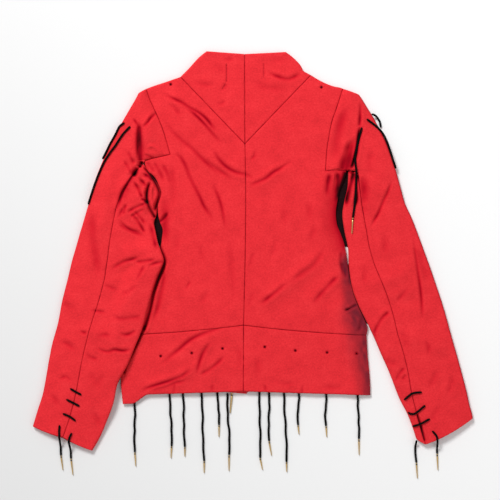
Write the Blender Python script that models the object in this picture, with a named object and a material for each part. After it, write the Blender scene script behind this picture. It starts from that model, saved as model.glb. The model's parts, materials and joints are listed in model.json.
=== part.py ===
"""Arming doublet of padded cotton, laid flat with its back up.

X runs to the right, Y towards the collar and Z up. The origin is under the middle of the cloth,
on the surface that it lies on. Every size in the tables is in millimetres.
"""
import math
from collections import namedtuple

import bpy
from mathutils import Vector
from mathutils.bvhtree import BVHTree

MM = 0.001

# One layer of cloth is two cottons with a thin padding between them.
WALL = 4.0
SEAM_GAP = 0.34
LAYER_GAP = 0.6
BACK_UNDERSIDE = WALL + LAYER_GAP
BACK_TOP = BACK_UNDERSIDE + WALL
BODY_CROWN = 3.0
BODY_MIDDLE = -15.0
BODY_HALF = 225.0
THINNEST = 1.4

# A sleeve is one layer over another, folded at its two long edges.
SLEEVE_HOLLOW = 2.4
SLEEVE_HEIGHT = 2 * WALL + SLEEVE_HOLLOW
SLEEVE_CROWN = 5.0
ROLL = 8.0
ROLL_STEPS = (0.0, 0.25, 1.0)

# The left sleeve lies over the left side of the body.
OVER_BODY = 11.9
OVER_RUN = 42.0
OVER_START = 48.0
OVER_TOP_Y = 175.0
OVER_FADE = 30.0

ROW_STEP = 36.0
COLLAR_COLUMNS = 5
BACK_COLUMNS = 9
SKIRT_COLUMNS = 10
FRONT_COLUMNS = 5
FRONT_HEM_COLUMNS = 24

# Centre-back seam and V yoke
CENTRE_TOP = (-16.0, 382.5)
V_POINT = (-15.5, 207.5)
CENTRE_WAIST = (-18.0, -144.5)
CENTRE_HEM = (-18.5, -273.5)
COLLAR_LEFT = ((-90.0, 388.0), (-105.0, 376.0), (-120.0, 359.5), (-127.0, 352.0), (-141.0, 338.0))
COLLAR_RIGHT = ((64.0, 386.5), (78.0, 376.0), (92.0, 361.5), (98.0, 349.5), (113.0, 341.5))
COLLAR_CENTRE = (382.5, 373.0, 361.0, 351.0, 339.0)
YOKE_SHARES = (0.08, 0.3, 0.55, 0.78, 0.95)
UNDERARM_CENTRE_LEFT = (190.0, 178.0)
UNDERARM_CENTRE_RIGHT = (168.0, 154.0)
SHOULDER_BOW_LEFT = 0.0
SHOULDER_BOW_RIGHT = -4.0
FRONT_SHOULDER_RIGHT = ((132.0, 329.5), (152.0, 321.5))
CLOSING_X = -12.0

Row = namedtuple("Row", "left right bow soft_left soft_right", defaults=(0.0, 0, 0))
Section = namedtuple("Section", "edge top under share bow", defaults=(0.0,))
Sleeve = namedtuple("Sleeve", "outer seam inner")
Fold = namedtuple("Fold", "start end width height")
Lace = namedtuple("Lace", "start_x sway end aglet_tip")

# Armscye seams from the shoulder down, then out along the underarm seam
ARMSCYE_LEFT = (
    (-207.5, 315.0), (-201.0, 296.0), (-193.0, 278.0), (-180.0, 249.0),
    (-169.0, 217.0), (-160.5, 187.0), (-208.5, 176.0))
ARMSCYE_RIGHT = (
    (175.0, 315.5), (170.0, 301.0), (163.0, 279.0), (153.5, 251.0),
    (148.0, 225.0), (143.5, 194.0), (141.0, 158.5), (180.0, 152.5))
HEAD_EDGE_LEFT = (
    (-222.0, 307.0), (-230.0, 292.0), (-240.0, 275.0), (-255.0, 249.0),
    (-271.0, 219.0), (-285.0, 191.0), (-292.0, 175.0))
HEAD_EDGE_RIGHT = (
    (206.0, 304.0), (213.0, 294.0), (221.0, 281.0), (234.0, 260.0),
    (245.0, 239.0), (258.0, 213.0), (270.0, 183.0), (278.0, 157.0))

# Side edges of the body, from the armhole to the waist
SIDE_LEFT = (
    (-212.0, 164.0), (-201.0, 152.0), (-185.0, 138.0), (-176.0, 119.0), (-177.0, 103.0),
    (-181.0, 87.0), (-185.0, 68.0), (-190.0, 41.0), (-204.0, -18.0), (-222.0, -71.0),
    (-238.0, -106.0), (-252.0, -140.0), (-254.0, -164.0))
SIDE_RIGHT = (
    (179.0, 147.0), (172.0, 132.0), (168.0, 118.0), (163.0, 100.0), (160.0, 76.0),
    (164.0, 52.0), (169.0, 20.0), (181.0, -10.0), (184.0, -24.0), (192.0, -71.0),
    (204.0, -106.0), (217.0, -134.0), (223.0, -149.0), (221.0, -164.0))
SKIRT_LEFT = ((-254.0, -164.0), (-255.0, -199.0), (-259.0, -236.0), (-256.0, -262.0), (-253.0, -281.0))
SKIRT_RIGHT = ((221.0, -164.0), (223.0, -199.0), (226.0, -236.0), (228.0, -262.0), (228.5, -281.0))
WAIST_BOW = -2.6
WAIST_SIDE_Y = -166.0
HEM_SHAPE_RUN = 100.0
HEM_DIP = 17.0
HEM_DIP_START = -202.0
HEM_DIP_RUN = 34.0
FRONT_HEM_SHORT = 12.0
PEEK_FROM = -62.0
PEEK_TO = -3.0
PEEK_RUN = 10.0
PEEK_DROP = 18.0
HEM_COLUMN = 10.0

# Two-piece sleeves, from the underarm to the cuff
SLEEVE_LEFT = (
    Sleeve((-299.0, 158.0), (-218.5, 164.0), (-209.0, 158.0)),
    Sleeve((-305.0, 143.0), (-231.0, 150.0), (-190.0, 136.0)),
    Sleeve((-314.0, 112.0), (-254.0, 115.0), (-182.0, 113.0)),
    Sleeve((-322.0, 83.0), (-265.0, 83.0), (-188.0, 85.0)),
    Sleeve((-330.0, 55.0), (-270.0, 60.0), (-193.0, 60.0)),
    Sleeve((-341.0, 18.0), (-277.0, 21.0), (-181.0, 13.0)),
    Sleeve((-352.0, -20.0), (-282.0, -18.0), (-178.0, -20.0)),
    Sleeve((-361.0, -58.0), (-288.0, -56.0), (-188.0, -57.0)),
    Sleeve((-371.0, -98.0), (-299.0, -98.0), (-202.0, -104.0)),
    Sleeve((-379.0, -140.0), (-313.0, -141.0), (-214.0, -150.0)),
    Sleeve((-390.0, -180.0), (-323.0, -178.0), (-229.0, -188.0)),
    Sleeve((-397.0, -215.0), (-331.0, -212.0), (-242.0, -220.0)),
    Sleeve((-403.0, -250.0), (-338.0, -250.0), (-258.0, -258.0)),
    Sleeve((-409.0, -280.0), (-345.0, -285.0), (-270.0, -295.0)),
    Sleeve((-418.0, -308.0), (-353.0, -316.0), (-284.0, -332.0)),
    Sleeve((-424.0, -328.0), (-361.0, -341.0), (-297.0, -362.0)),
    Sleeve((-428.0, -341.0), (-368.0, -361.0), (-312.0, -388.0)))
SLEEVE_RIGHT = (
    Sleeve((280.5, 148.0), (203.0, 150.0), (191.0, 148.0)),
    Sleeve((288.0, 120.0), (207.0, 122.0), (184.0, 124.0)),
    Sleeve((296.0, 92.0), (211.0, 92.0), (178.0, 97.0)),
    Sleeve((309.0, 64.0), (216.0, 62.0), (174.0, 70.0)),
    Sleeve((322.0, 30.0), (221.0, 34.0), (178.0, 38.0)),
    Sleeve((333.0, 0.0), (226.0, 6.0), (187.0, 5.0)),
    Sleeve((344.0, -30.0), (235.0, -25.0), (188.0, -30.0)),
    Sleeve((356.0, -65.0), (246.0, -52.0), (196.0, -72.0)),
    Sleeve((367.0, -98.0), (262.0, -92.0), (208.0, -106.0)),
    Sleeve((376.0, -128.0), (273.0, -128.0), (221.0, -134.0)),
    Sleeve((386.0, -165.0), (281.0, -162.0), (234.0, -165.0)),
    Sleeve((396.0, -200.0), (292.0, -198.0), (249.0, -200.0)),
    Sleeve((407.0, -240.0), (301.0, -236.0), (265.0, -236.0)),
    Sleeve((416.0, -275.0), (307.0, -272.0), (284.0, -285.0)),
    Sleeve((421.0, -298.0), (316.0, -308.0), (299.0, -314.0)),
    Sleeve((425.0, -312.0), (324.0, -338.0), (309.0, -339.0)),
    Sleeve((428.0, -325.0), (335.0, -376.0), (318.0, -366.0)))
UNDER_SEAM_ROWS = 3
CUFF_BOW = 5.0
SLEEVE_TOP_COLUMNS = 5
SLEEVE_UNDER_COLUMNS = 4

# The largest folds: a ridge has a height above the cloth, a trough one below it
BODY_FOLDS = (
    Fold((-170.0, 298.0), (-60.0, 222.0), 15.0, 3.4),
    Fold((-150.0, 262.0), (-92.0, 205.0), 16.0, 2.6),
    Fold((-120.0, 130.0), (-40.0, 40.0), 20.0, 3.0),
    Fold((5.0, 128.0), (75.0, 158.0), 14.0, 2.2),
    Fold((20.0, -104.0), (128.0, -16.0), 15.0, 3.4),
    Fold((110.0, -98.0), (176.0, -48.0), 14.0, 3.0),
    Fold((-205.0, -270.0), (-88.0, -214.0), 14.0, 3.2),
    Fold((-175.0, -232.0), (-76.0, -166.0), 15.0, 2.6))
SLEEVE_FOLDS = (
    Fold((-277.0, 158.0), (-296.0, 28.0), 14.0, 4.5),
    Fold((-219.0, 242.0), (-214.0, 178.0), 9.0, -7.5),
    Fold((-195.0, 258.0), (-206.0, 205.0), 14.0, 3.0),
    Fold((-228.0, 108.0), (-198.0, 84.0), 14.0, 4.0),
    Fold((-250.0, -10.0), (-205.0, 10.0), 14.0, 4.0),
    Fold((-262.0, -48.0), (-205.0, -22.0), 12.0, -2.6),
    Fold((-330.0, -150.0), (-262.0, -176.0), 16.0, 3.0),
    Fold((213.0, 262.0), (196.0, 186.0), 9.0, -7.0),
    Fold((240.0, 205.0), (262.0, 100.0), 18.0, 3.0),
    Fold((262.0, 115.0), (234.0, 52.0), 10.0, -2.4),
    Fold((232.0, -70.0), (300.0, -38.0), 16.0, 3.4),
    Fold((250.0, -110.0), (330.0, -92.0), 14.0, -2.2),
    Fold((300.0, -160.0), (372.0, -190.0), 18.0, 3.0))

# Laces, with a crimped brass aglet on each free end
LACE = 4.2
AGLET = 5.0
AGLET_TIP = 3.0
AGLET_SIDES = 10
LACE_STEP = 10.5
LIE_GAP = 0.75
LIE_RINGS = ((0.0, 1), (0.35, 6), (0.7, 10), (1.0, 14))
FINE_STEPS = 5
ABOVE = 100.0
STEEPEST = 0.8
HEM_LACE_HEIGHT = LACE / 2 + 0.1
AGLET_HEIGHT = AGLET / 2 + 0.1
HEM_LACES = (
    Lace(-231.0, 2.5, (-230.0, -393.0), (-228.0, -420.0)),
    Lace(-161.5, -2.0, (-158.5, -381.0), (-159.5, -404.0)),
    Lace(-137.0, 2.0, (-132.5, -383.0), (-132.5, -401.0)),
    Lace(-101.0, 2.5, (-95.0, -410.0), (-95.0, -433.0)),
    Lace(-69.0, -1.5, (-66.0, -340.0), (-66.0, -363.0)),
    Lace(-49.0, -2.5, (-46.5, -398.0), (-46.5, -429.0)),
    Lace(13.0, -2.5, (14.0, -404.0), (19.0, -427.0)),
    Lace(31.0, 2.0, (31.5, -371.0), (36.5, -399.0)),
    Lace(61.0, 3.0, (65.5, -412.0), (66.0, -431.0)),
    Lace(89.0, -1.5, (88.0, -340.0), (90.0, -358.0)),
    Lace(141.5, 1.5, (142.5, -342.0), (144.0, -363.0)),
    Lace(204.5, -2.0, (206.5, -367.0), (207.0, -398.0)))
LOOSE_AGLET_X = -41.0
LOOSE_AGLET_TIP = (-44.5, -316.0)
CUFF_BARS = (
    ("cuff_bar_left_1", ((-353.5, -266.5), (-343.0, -272.5), (-332.0, -278.5))),
    ("cuff_bar_left_2", ((-361.0, -287.5), (-348.0, -294.0), (-335.5, -300.5))),
    ("cuff_bar_left_3", ((-368.0, -315.0), (-355.0, -320.5), (-343.0, -329.0))),
    ("cuff_bar_right_1", ((293.0, -289.0), (308.5, -276.5), (327.0, -273.5))),
    ("cuff_bar_right_2", ((300.0, -313.0), (312.5, -316.0), (333.5, -299.0))),
    ("cuff_bar_right_3", ((309.5, -340.5), (325.0, -335.0), (342.5, -325.0))))
CUFF_LACES = (
    ("cuff_lace_left_1", ((-374.0, -337.5), (-375.0, -350.0), (-374.5, -363.0), (-374.5, -382.0),
                          (-374.0, -399.0)), (-370.0, -427.5)),
    ("cuff_lace_left_2", ((-350.5, -352.5), (-356.0, -366.0), (-355.0, -386.5), (-354.5, -405.0)),
     (-350.5, -437.0)),
    ("cuff_lace_right_1", ((347.0, -348.5), (355.5, -358.5), (357.5, -371.0), (359.0, -395.5)),
     (360.5, -427.5)),
    ("cuff_lace_right_2", ((317.8, -367.9), (316.5, -382.0), (316.5, -394.0), (318.5, -413.0)),
     (320.5, -443.5)))
SHOULDER_LACES = (
    ("shoulder_lace_left_1", ((-237.5, 241.0), (-252.5, 225.0), (-266.5, 204.0), (-277.0, 190.0),
                              (-286.0, 176.0), (-295.0, 158.0), (-307.0, 128.0), (-319.5, 90.0))),
    ("shoulder_lace_left_2", ((-249.0, 248.5), (-259.0, 241.0), (-267.0, 225.0), (-277.5, 206.5),
                              (-284.0, 193.0), (-292.0, 178.0))),
    ("shoulder_lace_right_1", ((220.5, 255.0), (230.5, 247.0), (244.0, 235.5), (254.5, 225.5),
                               (262.0, 213.0), (268.0, 196.5), (274.5, 179.0), (281.0, 161.0))),
    ("shoulder_lace_right_2", ((229.5, 269.5), (240.0, 261.0), (246.5, 250.0), (249.5, 239.0))))
UNDERARM_LACE = ((215.0, 239.0), (206.5, 210.0), (200.0, 179.0), (200.5, 145.0), (198.0, 99.0),
                 (193.5, 64.0))
UNDERARM_TIP = (191.5, 33.0)

RED = (0.72, 0.03, 0.035, 1.0)
DULL_RED = (0.6, 0.025, 0.03, 1.0)
BLACK = (0.012, 0.011, 0.012, 1.0)
BRASS = (0.78, 0.55, 0.24, 1.0)


def clear_scene():
    """Start from an empty file."""
    for item in list(bpy.data.objects):
        bpy.data.objects.remove(item, do_unlink=True)


def finish(name, colour, roughness, metallic=0.0):
    """A plain material with the colour that the piece shows."""
    material = bpy.data.materials.new(name)
    material.use_nodes = True
    shader = material.node_tree.nodes["Principled BSDF"]
    shader.inputs["Base Color"].default_value = colour
    shader.inputs["Roughness"].default_value = roughness
    shader.inputs["Metallic"].default_value = metallic
    return material


def smooth(value):
    """Ease from 0 to 1 as the value does."""
    value = min(max(value, 0.0), 1.0)
    return value * value * (3 - 2 * value)


def between(first, last, share):
    """The point that lies a share of the way from one point to another."""
    return tuple(a + (b - a) * share for a, b in zip(first, last))


def distance(first, last):
    return math.hypot(last[0] - first[0], last[1] - first[1])


def quarter(step):
    """Height of a quarter circle at a step from its edge, both from 0 to 1."""
    return math.sqrt(max(1 - (1 - step) ** 2, 0.0))


def fold_height(folds, x, y):
    """How far the folds raise or lower the cloth at a place."""
    total = 0.0
    for fold in folds:
        along_x = fold.end[0] - fold.start[0]
        along_y = fold.end[1] - fold.start[1]
        length = math.hypot(along_x, along_y)
        share = ((x - fold.start[0]) * along_x + (y - fold.start[1]) * along_y) / length ** 2
        aside = ((x - fold.start[0]) * along_y - (y - fold.start[1]) * along_x) / length
        ends = smooth((share + 0.2) / 0.4) * smooth((1.2 - share) / 0.4)
        total += fold.height * ends * math.exp(-(aside / fold.width) ** 2)
    return total


def edge_at(points, y):
    """X of an edge that runs down the body, at a height y."""
    for upper, lower in zip(points, points[1:]):
        if upper[1] >= y >= lower[1]:
            return between(upper, lower, (upper[1] - y) / (upper[1] - lower[1]))[0]
    return points[0][0] if y > points[0][1] else points[-1][0]


def body_top(x, y):
    """Top of the back layer, a little higher in the middle of the body."""
    middle = max(1 - ((x - BODY_MIDDLE) / BODY_HALF) ** 2, 0.0)
    return max(BACK_TOP + BODY_CROWN * middle + fold_height(BODY_FOLDS, x, y), BACK_UNDERSIDE + THINNEST)


def over_body(x, y):
    """How far the left sleeve is lifted where it lies over the side of the body."""
    side = edge_at(SIDE_LEFT + SKIRT_LEFT, y)
    return OVER_BODY * smooth((x - side + OVER_START) / OVER_RUN) * smooth((OVER_TOP_Y - y) / OVER_FADE)


def on_floor(x, y):
    """The right sleeve lies on the floor."""
    return 0.0


def mesh_wall(name, outer, inner, material, collection):
    """A closed wall between an outer and an inner grid of points."""
    rows = len(outer)
    columns = len(outer[0])
    points = [point for grid in (outer, inner) for row in grid for point in row]
    second = rows * columns

    def at(row, column):
        return row * columns + column

    faces = []
    for row in range(rows - 1):
        for column in range(columns - 1):
            square = (at(row, column), at(row + 1, column), at(row + 1, column + 1), at(row, column + 1))
            faces.append(square)
            faces.append(tuple(second + corner for corner in reversed(square)))
    rim = [at(0, column) for column in range(columns)]
    rim += [at(row, columns - 1) for row in range(1, rows)]
    rim += [at(rows - 1, column) for column in range(columns - 2, -1, -1)]
    rim += [at(row, 0) for row in range(rows - 2, 0, -1)]
    for here, there in zip(rim, rim[1:] + rim[:1]):
        faces.append((here, there, second + there, second + here))
    mesh = bpy.data.meshes.new(name)
    mesh.from_pydata([tuple(value * MM for value in point) for point in points], [], faces)
    mesh.shade_smooth()
    mesh.set_sharp_from_angle(angle=math.radians(40))
    mesh.materials.append(material)
    item = bpy.data.objects.new(name, mesh)
    collection.objects.link(item)
    return item


def row_shares(rows, soft_top):
    """Places down a table of rows, by row number, close together under a soft top edge."""
    places = []
    for number, (upper, lower) in enumerate(zip(rows, rows[1:])):
        length = max(distance(upper.left, lower.left), distance(upper.right, lower.right))
        start = 0.0
        if number == 0 and soft_top:
            nearest = max(min(distance(upper.left, lower.left), distance(upper.right, lower.right)), 1.0)
            start = min(ROLL / nearest, 0.6)
            places += [(start * step, quarter(step)) for step in ROLL_STEPS[:-1]]
        count = max(1, round(length * (1 - start) / ROW_STEP))
        places += [(number + start + (1 - start) * part / count, 1.0) for part in range(count)]
    return places + [(len(rows) - 1.0, 1.0)]


def column_shares(row, width, count, soft_left, soft_right):
    """Places across a row, each with how far it stands up from a soft side edge."""
    roll = min(ROLL, width / 3)
    steps_left = [(roll * step, 1 - row.soft_left * (1 - quarter(step))) for step in ROLL_STEPS[:-1]]
    steps_right = [(width - roll * step, 1 - row.soft_right * (1 - quarter(step)))
                   for step in reversed(ROLL_STEPS[:-1])]
    first = roll if soft_left else SEAM_GAP / 2
    last = width - (roll if soft_right else SEAM_GAP / 2)
    middle = [(first + (last - first) * part / count, 1.0) for part in range(count + 1)]
    places = (steps_left if soft_left else []) + middle + (steps_right if soft_right else [])
    return [(place / width, lift) for place, lift in places]


def panel(name, rows, count, low, high, material, collection, soft_top=False, warp=None):
    """A flat piece of cloth between two side edges, with its soft edges rounded."""
    soft_left = any(row.soft_left for row in rows)
    soft_right = any(row.soft_right for row in rows)
    top_grid = []
    low_grid = []
    for place, row_lift in row_shares(rows, soft_top):
        number = min(int(place), len(rows) - 2)
        share = place - number
        upper, lower = rows[number], rows[number + 1]
        row = Row(*(between(a, b, share) if isinstance(a, tuple) else a + (b - a) * share
                    for a, b in zip(upper, lower)))
        width = distance(row.left, row.right)
        top_row = []
        low_row = []
        for across, lift in column_shares(row, width, count, soft_left, soft_right):
            x, y = between(row.left, row.right, across)
            y += row.bow * 4 * across * (1 - across)
            if warp:
                x, y = warp(x, y)
            lifted = lift * row_lift
            underside, upside = low(x, y, lifted), high(x, y, lifted)
            top_row.append((x, y, upside))
            low_row.append((x, y, underside))
        top_grid.append(top_row)
        low_grid.append(low_row)
    return mesh_wall(name, top_grid, low_grid, material, collection)


def back_low(x, y, lift):
    return BACK_UNDERSIDE


def back_high(x, y, lift):
    edge = BACK_UNDERSIDE + THINNEST
    return edge + (body_top(x, y) - edge) * lift


def front_low(x, y, lift):
    return (WALL - THINNEST) * (1 - lift)


def front_high(x, y, lift):
    return WALL


def hem_shape(x, y):
    """The hem hangs lower at its left corner."""
    down = smooth((WAIST_SIDE_Y - y) / HEM_SHAPE_RUN)
    return x, y - HEM_DIP * smooth((HEM_DIP_START - x) / HEM_DIP_RUN) * down


def front_hem_shape(x, y):
    """The front hem is a little shorter, but peeks out near the centre."""
    x, y = hem_shape(x, y)
    down = smooth((WAIST_SIDE_Y - y) / HEM_SHAPE_RUN)
    peek = smooth((x - PEEK_FROM) / PEEK_RUN) * smooth((PEEK_TO - x) / PEEK_RUN)
    return x, y + (FRONT_HEM_SHORT - PEEK_DROP * peek) * down


def collar_rows(side, edge):
    """Collar and V yoke, from the top edge to the point of the V."""
    rows = [(outside, (CENTRE_TOP[0], y), 1) for outside, y in zip(edge, COLLAR_CENTRE)]
    for share in YOKE_SHARES:
        y = COLLAR_CENTRE[-1] + (V_POINT[1] - COLLAR_CENTRE[-1]) * share
        rows.append((between(edge[-1], V_POINT, share), (V_POINT[0], y), 0))
    if side == "left":
        return [Row(outside, middle, soft_left=soft) for outside, middle, soft in rows]
    return [Row(middle, outside, soft_right=soft) for outside, middle, soft in rows]


def back_rows(side, v_top, armscye, underarm, side_edge, shoulder_bow):
    """One back panel: the V seam and centre back on one side, armscye and side on the other."""
    yoke = len(armscye) - 3
    outline = list(armscye) + list(side_edge)
    middle = [between(v_top, V_POINT, part / yoke) for part in range(yoke + 1)]
    side_length = V_POINT[1] - side_edge[-1][1]
    for y in underarm + tuple(place[1] for place in side_edge[:-1]):
        middle.append(between(V_POINT, CENTRE_WAIST, (V_POINT[1] - y) / side_length))
    middle.append(CENTRE_WAIST)
    bows = [shoulder_bow] + [0.0] * (len(outline) - 2) + [WAIST_BOW]
    soft = [0] * len(armscye) + [1] * len(side_edge)
    places = zip(outline, middle, bows, soft)
    if side == "left":
        return [Row(out, mid, bow, soft_left=flag) for out, mid, bow, flag in places]
    return [Row(mid, out, bow, soft_right=flag) for out, mid, bow, flag in places]


def skirt_rows(side, edge, middle_x):
    """One side of the skirt, from the waist seam to the hem."""
    rows = []
    for number, (x, y) in enumerate(edge):
        share = number / (len(edge) - 1)
        down = SEAM_GAP * (1 - share)
        middle = (middle_x, CENTRE_WAIST[1] + (CENTRE_HEM[1] - CENTRE_WAIST[1]) * share - down)
        bow = WAIST_BOW * (1 - share)
        if side == "left":
            rows.append(Row((x, y - down), middle, bow, soft_left=1))
        else:
            rows.append(Row(middle, (x, y - down), bow, soft_right=1))
    return rows


def front_rows(side, collar, armscye, side_edge):
    """One front panel with its part of the collar, from the collar's top edge to the waist."""
    outline = list(collar) + list(armscye) + list(side_edge)
    soft = [1] * (len(collar) + 1) + [0] * (len(armscye) - 1) + [1] * len(side_edge)
    highest = outline[0][1]
    lowest = outline[-1][1]
    rows = []
    for number, ((x, y), flag) in enumerate(zip(outline, soft)):
        share = (highest - y) / (highest - lowest)
        middle = (CLOSING_X, CENTRE_TOP[1] + (CENTRE_WAIST[1] - CENTRE_TOP[1]) * share)
        bow = WAIST_BOW if number == len(outline) - 1 else 0.0
        if side == "left":
            rows.append(Row((x, y), middle, bow, soft_left=flag))
        else:
            rows.append(Row(middle, (x, y), bow, soft_right=flag))
    return rows


def sleeve_piece(name, sections, base, material, collection):
    """A piece that runs from its seam on top, round a folded edge, to its seam underneath."""
    outer_grid = []
    inner_grid = []
    for number, (upper, lower) in enumerate(zip(sections, sections[1:])):
        length = max(distance(upper.edge, lower.edge), distance(upper.top, lower.top))
        count = max(1, round(length / ROW_STEP))
        last = 1 if number == len(sections) - 2 else 0
        for part in range(count + last):
            share = part / count
            section = Section(*(between(a, b, share) if isinstance(a, tuple) else a + (b - a) * share
                                for a, b in zip(upper, lower)))
            outer_row, inner_row = sleeve_section(section, base)
            outer_grid.append(outer_row)
            inner_grid.append(inner_row)
    if sections[0].edge[0] < sections[0].top[0]:
        outer_grid = [row[::-1] for row in outer_grid]
        inner_grid = [row[::-1] for row in inner_grid]
    return mesh_wall(name, outer_grid, inner_grid, material, collection)


def sleeve_section(section, base):
    """The outer and inner points of one section across a sleeve piece."""
    width = distance(section.edge, section.top)
    under = distance(section.edge, section.under)
    roll = min(ROLL, width * 0.5, under * 0.5)
    wall_in = min(WALL, roll * 0.7)

    def place(target, length, aside):
        share = aside / length
        x, y = between(section.edge, target, share)
        return x, y - section.bow * 4 * share * (1 - share)

    def top_height(x, y, aside):
        crown = SLEEVE_CROWN * math.sin(math.pi * min(section.share * aside / width, 1.0))
        folded = SLEEVE_HEIGHT + crown + fold_height(SLEEVE_FOLDS, x, y)
        return max(folded, SLEEVE_HEIGHT - WALL + THINNEST)

    outer = []
    inner = []
    top_count = SLEEVE_TOP_COLUMNS
    for part in range(top_count + 1):
        aside = (width - SEAM_GAP / 2) + (roll - width + SEAM_GAP / 2) * part / top_count
        x, y = place(section.top, width, aside)
        outer.append((x, y, base(x, y) + top_height(x, y, aside)))
        inner.append((x, y, base(x, y) + SLEEVE_HEIGHT - WALL))
    high = outer[-1][2] - base(*outer[-1][:2])
    turns = [(section.top, width, step, 1) for step in reversed(ROLL_STEPS[:-1])]
    turns += [(section.under, under, step, -1) for step in ROLL_STEPS[1:-1]]
    for target, length, step, upward in turns:
        x, y = place(target, length, roll * step)
        middle = base(x, y) + SLEEVE_HEIGHT / 2
        rise = (high - SLEEVE_HEIGHT / 2) if upward > 0 else SLEEVE_HEIGHT / 2
        outer.append((x, y, middle + upward * rise * quarter(step)))
        x, y = place(target, length, wall_in + (roll - wall_in) * step)
        inner.append((x, y, middle + upward * (SLEEVE_HOLLOW / 2) * quarter(step)))
    for part in range(SLEEVE_UNDER_COLUMNS + 1):
        aside = roll + (under - SEAM_GAP / 2 - roll) * part / SLEEVE_UNDER_COLUMNS
        x, y = place(section.under, under, aside)
        outer.append((x, y, base(x, y)))
        inner.append((x, y, base(x, y) + WALL))
    return outer, inner


def under_seam(row, number):
    """The hidden seam underneath, which leaves the top seam at the underarm."""
    middle = between(row.outer, row.inner, 0.5)
    return between(row.seam, middle, min((number + 1) / UNDER_SEAM_ROWS, 1.0))


def outer_sections(armscye, head_edge, sleeve):
    """Sections of an outer piece: the sleeve head, then down the arm."""
    sections = []
    for number, ((x, y), edge) in enumerate(zip(armscye, head_edge)):
        seam = (x, y + (SEAM_GAP if number >= len(armscye) - 2 else 0.0))
        sections.append(Section(edge, seam, seam, 1.0))
    for number, row in enumerate(sleeve):
        across = distance(row.outer, row.seam)
        share = across / (across + distance(row.seam, row.inner))
        bow = CUFF_BOW * share if row is sleeve[-1] else 0.0
        sections.append(Section(row.outer, row.seam, under_seam(row, number), share, bow))
    return sections


def inner_sections(sleeve):
    """Sections of an inner piece, from the underarm to the cuff."""
    sections = []
    for number, row in enumerate(sleeve):
        across = distance(row.inner, row.seam)
        share = across / (across + distance(row.seam, row.outer))
        bow = CUFF_BOW * share if row is sleeve[-1] else 0.0
        sections.append(Section(row.inner, row.seam, under_seam(row, number), share, bow))
    return sections


def cloth_tree(items):
    """A search tree over the triangles of the cloth, in millimetres."""
    points = []
    triangles = []
    for item in items:
        first = len(points)
        points += [vertex.co / MM for vertex in item.data.vertices]
        item.data.calc_loop_triangles()
        triangles += [[first + corner for corner in face.vertices] for face in item.data.loop_triangles]
    return BVHTree.FromPolygons(points, triangles)


def lie_height(tree, x, y, radius):
    """Height of the middle of a lace that lies on the cloth, or on the floor beside it."""
    height = radius
    ball = radius + LIE_GAP
    for ring, count in LIE_RINGS:
        for part in range(count):
            turn = math.tau * part / count
            reach = ball * ring
            over = Vector((x + reach * math.cos(turn), y + reach * math.sin(turn), ABOVE))
            hit = tree.ray_cast(over, Vector((0, 0, -1)))[0]
            if hit:
                height = max(height, hit.z + math.sqrt(max(ball ** 2 - reach ** 2, 0.0)))
    return height


def smooth_route(points, step):
    """Evenly spaced points on a smooth curve through a route's own points."""
    ends = [between(points[1], points[0], 2.0)] + list(points) + [between(points[-2], points[-1], 2.0)]
    route = []
    for number in range(1, len(ends) - 2):
        before, start, end, after = ends[number - 1:number + 3]
        count = max(1, round(math.dist(start, end) / step))
        for part in range(count):
            t = part / count
            route.append(tuple(
                0.5 * (2 * b + (c - a) * t + (2 * a - 5 * b + 4 * c - d) * t ** 2
                       + (3 * b - a - 3 * c + d) * t ** 3)
                for a, b, c, d in zip(before, start, end, after)))
    route.append(tuple(points[-1]))
    return route


def lace(name, points, material, collection):
    """A round lace along its points."""
    curve = bpy.data.curves.new(name, "CURVE")
    curve.dimensions = "3D"
    curve.bevel_depth = LACE / 2 * MM
    curve.bevel_resolution = 2
    curve.use_fill_caps = True
    spline = curve.splines.new("POLY")
    spline.points.add(len(points) - 1)
    for knot, point in zip(spline.points, points):
        knot.co = (*(value * MM for value in point), 1.0)
    curve.materials.append(material)
    item = bpy.data.objects.new(name, curve)
    collection.objects.link(item)
    return item


def aglet(name, start, end, material, collection):
    """A brass tube crimped to a narrower tip."""
    first, last = Vector(start) * MM, Vector(end) * MM
    along = last - first
    bpy.ops.mesh.primitive_cone_add(
        vertices=AGLET_SIDES, radius1=AGLET / 2 * MM, radius2=AGLET_TIP / 2 * MM, depth=along.length,
        location=(first + last) / 2, rotation=along.to_track_quat("Z", "Y").to_euler())
    item = bpy.context.object
    item.name = name
    item.data.name = name
    item.data.materials.append(material)
    for owner in list(item.users_collection):
        owner.objects.unlink(item)
    collection.objects.link(item)
    return item


def lie_route(tree, points, radius):
    """A lace's route over the cloth, clear of each bump and with no drop too steep for a lace."""
    fine = smooth_route(points, LACE_STEP / FINE_STEPS)
    heights = [lie_height(tree, x, y, radius) for x, y in fine]
    lifted = []
    for x, y in smooth_route(points, LACE_STEP):
        reach = [height - STEEPEST * max(distance((x, y), place) - LACE_STEP / 2, 0)
                 for height, place in zip(heights, fine)]
        lifted.append((x, y, max(reach)))
    return lifted


def front_hem_y(x):
    """Where the front hem ends at a place along it."""
    corner = SKIRT_LEFT[-1] if x < CLOSING_X else SKIRT_RIGHT[-1]
    share = (x - CLOSING_X) / (corner[0] - CLOSING_X)
    y = CENTRE_HEM[1] + (corner[1] - CENTRE_HEM[1]) * share
    return front_hem_shape(x, y)[1]


def below_hem_y(x):
    """Where a lace starts, just clear of the front hem on each side of it."""
    return min(front_hem_y(x + aside) for aside in (-HEM_COLUMN, 0.0, HEM_COLUMN)) - SEAM_GAP


def hem_lace_route(row):
    """A slightly wavy route from under the hem to the aglet."""
    start = (row.start_x, below_hem_y(row.start_x))
    count = max(3, round(distance(start, row.end) / LACE_STEP))
    route = []
    for part in range(count + 1):
        share = part / count
        x, y = between(start, row.end, share)
        route.append((x + row.sway * math.sin(math.tau * share), y, HEM_LACE_HEIGHT))
    return route


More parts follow.
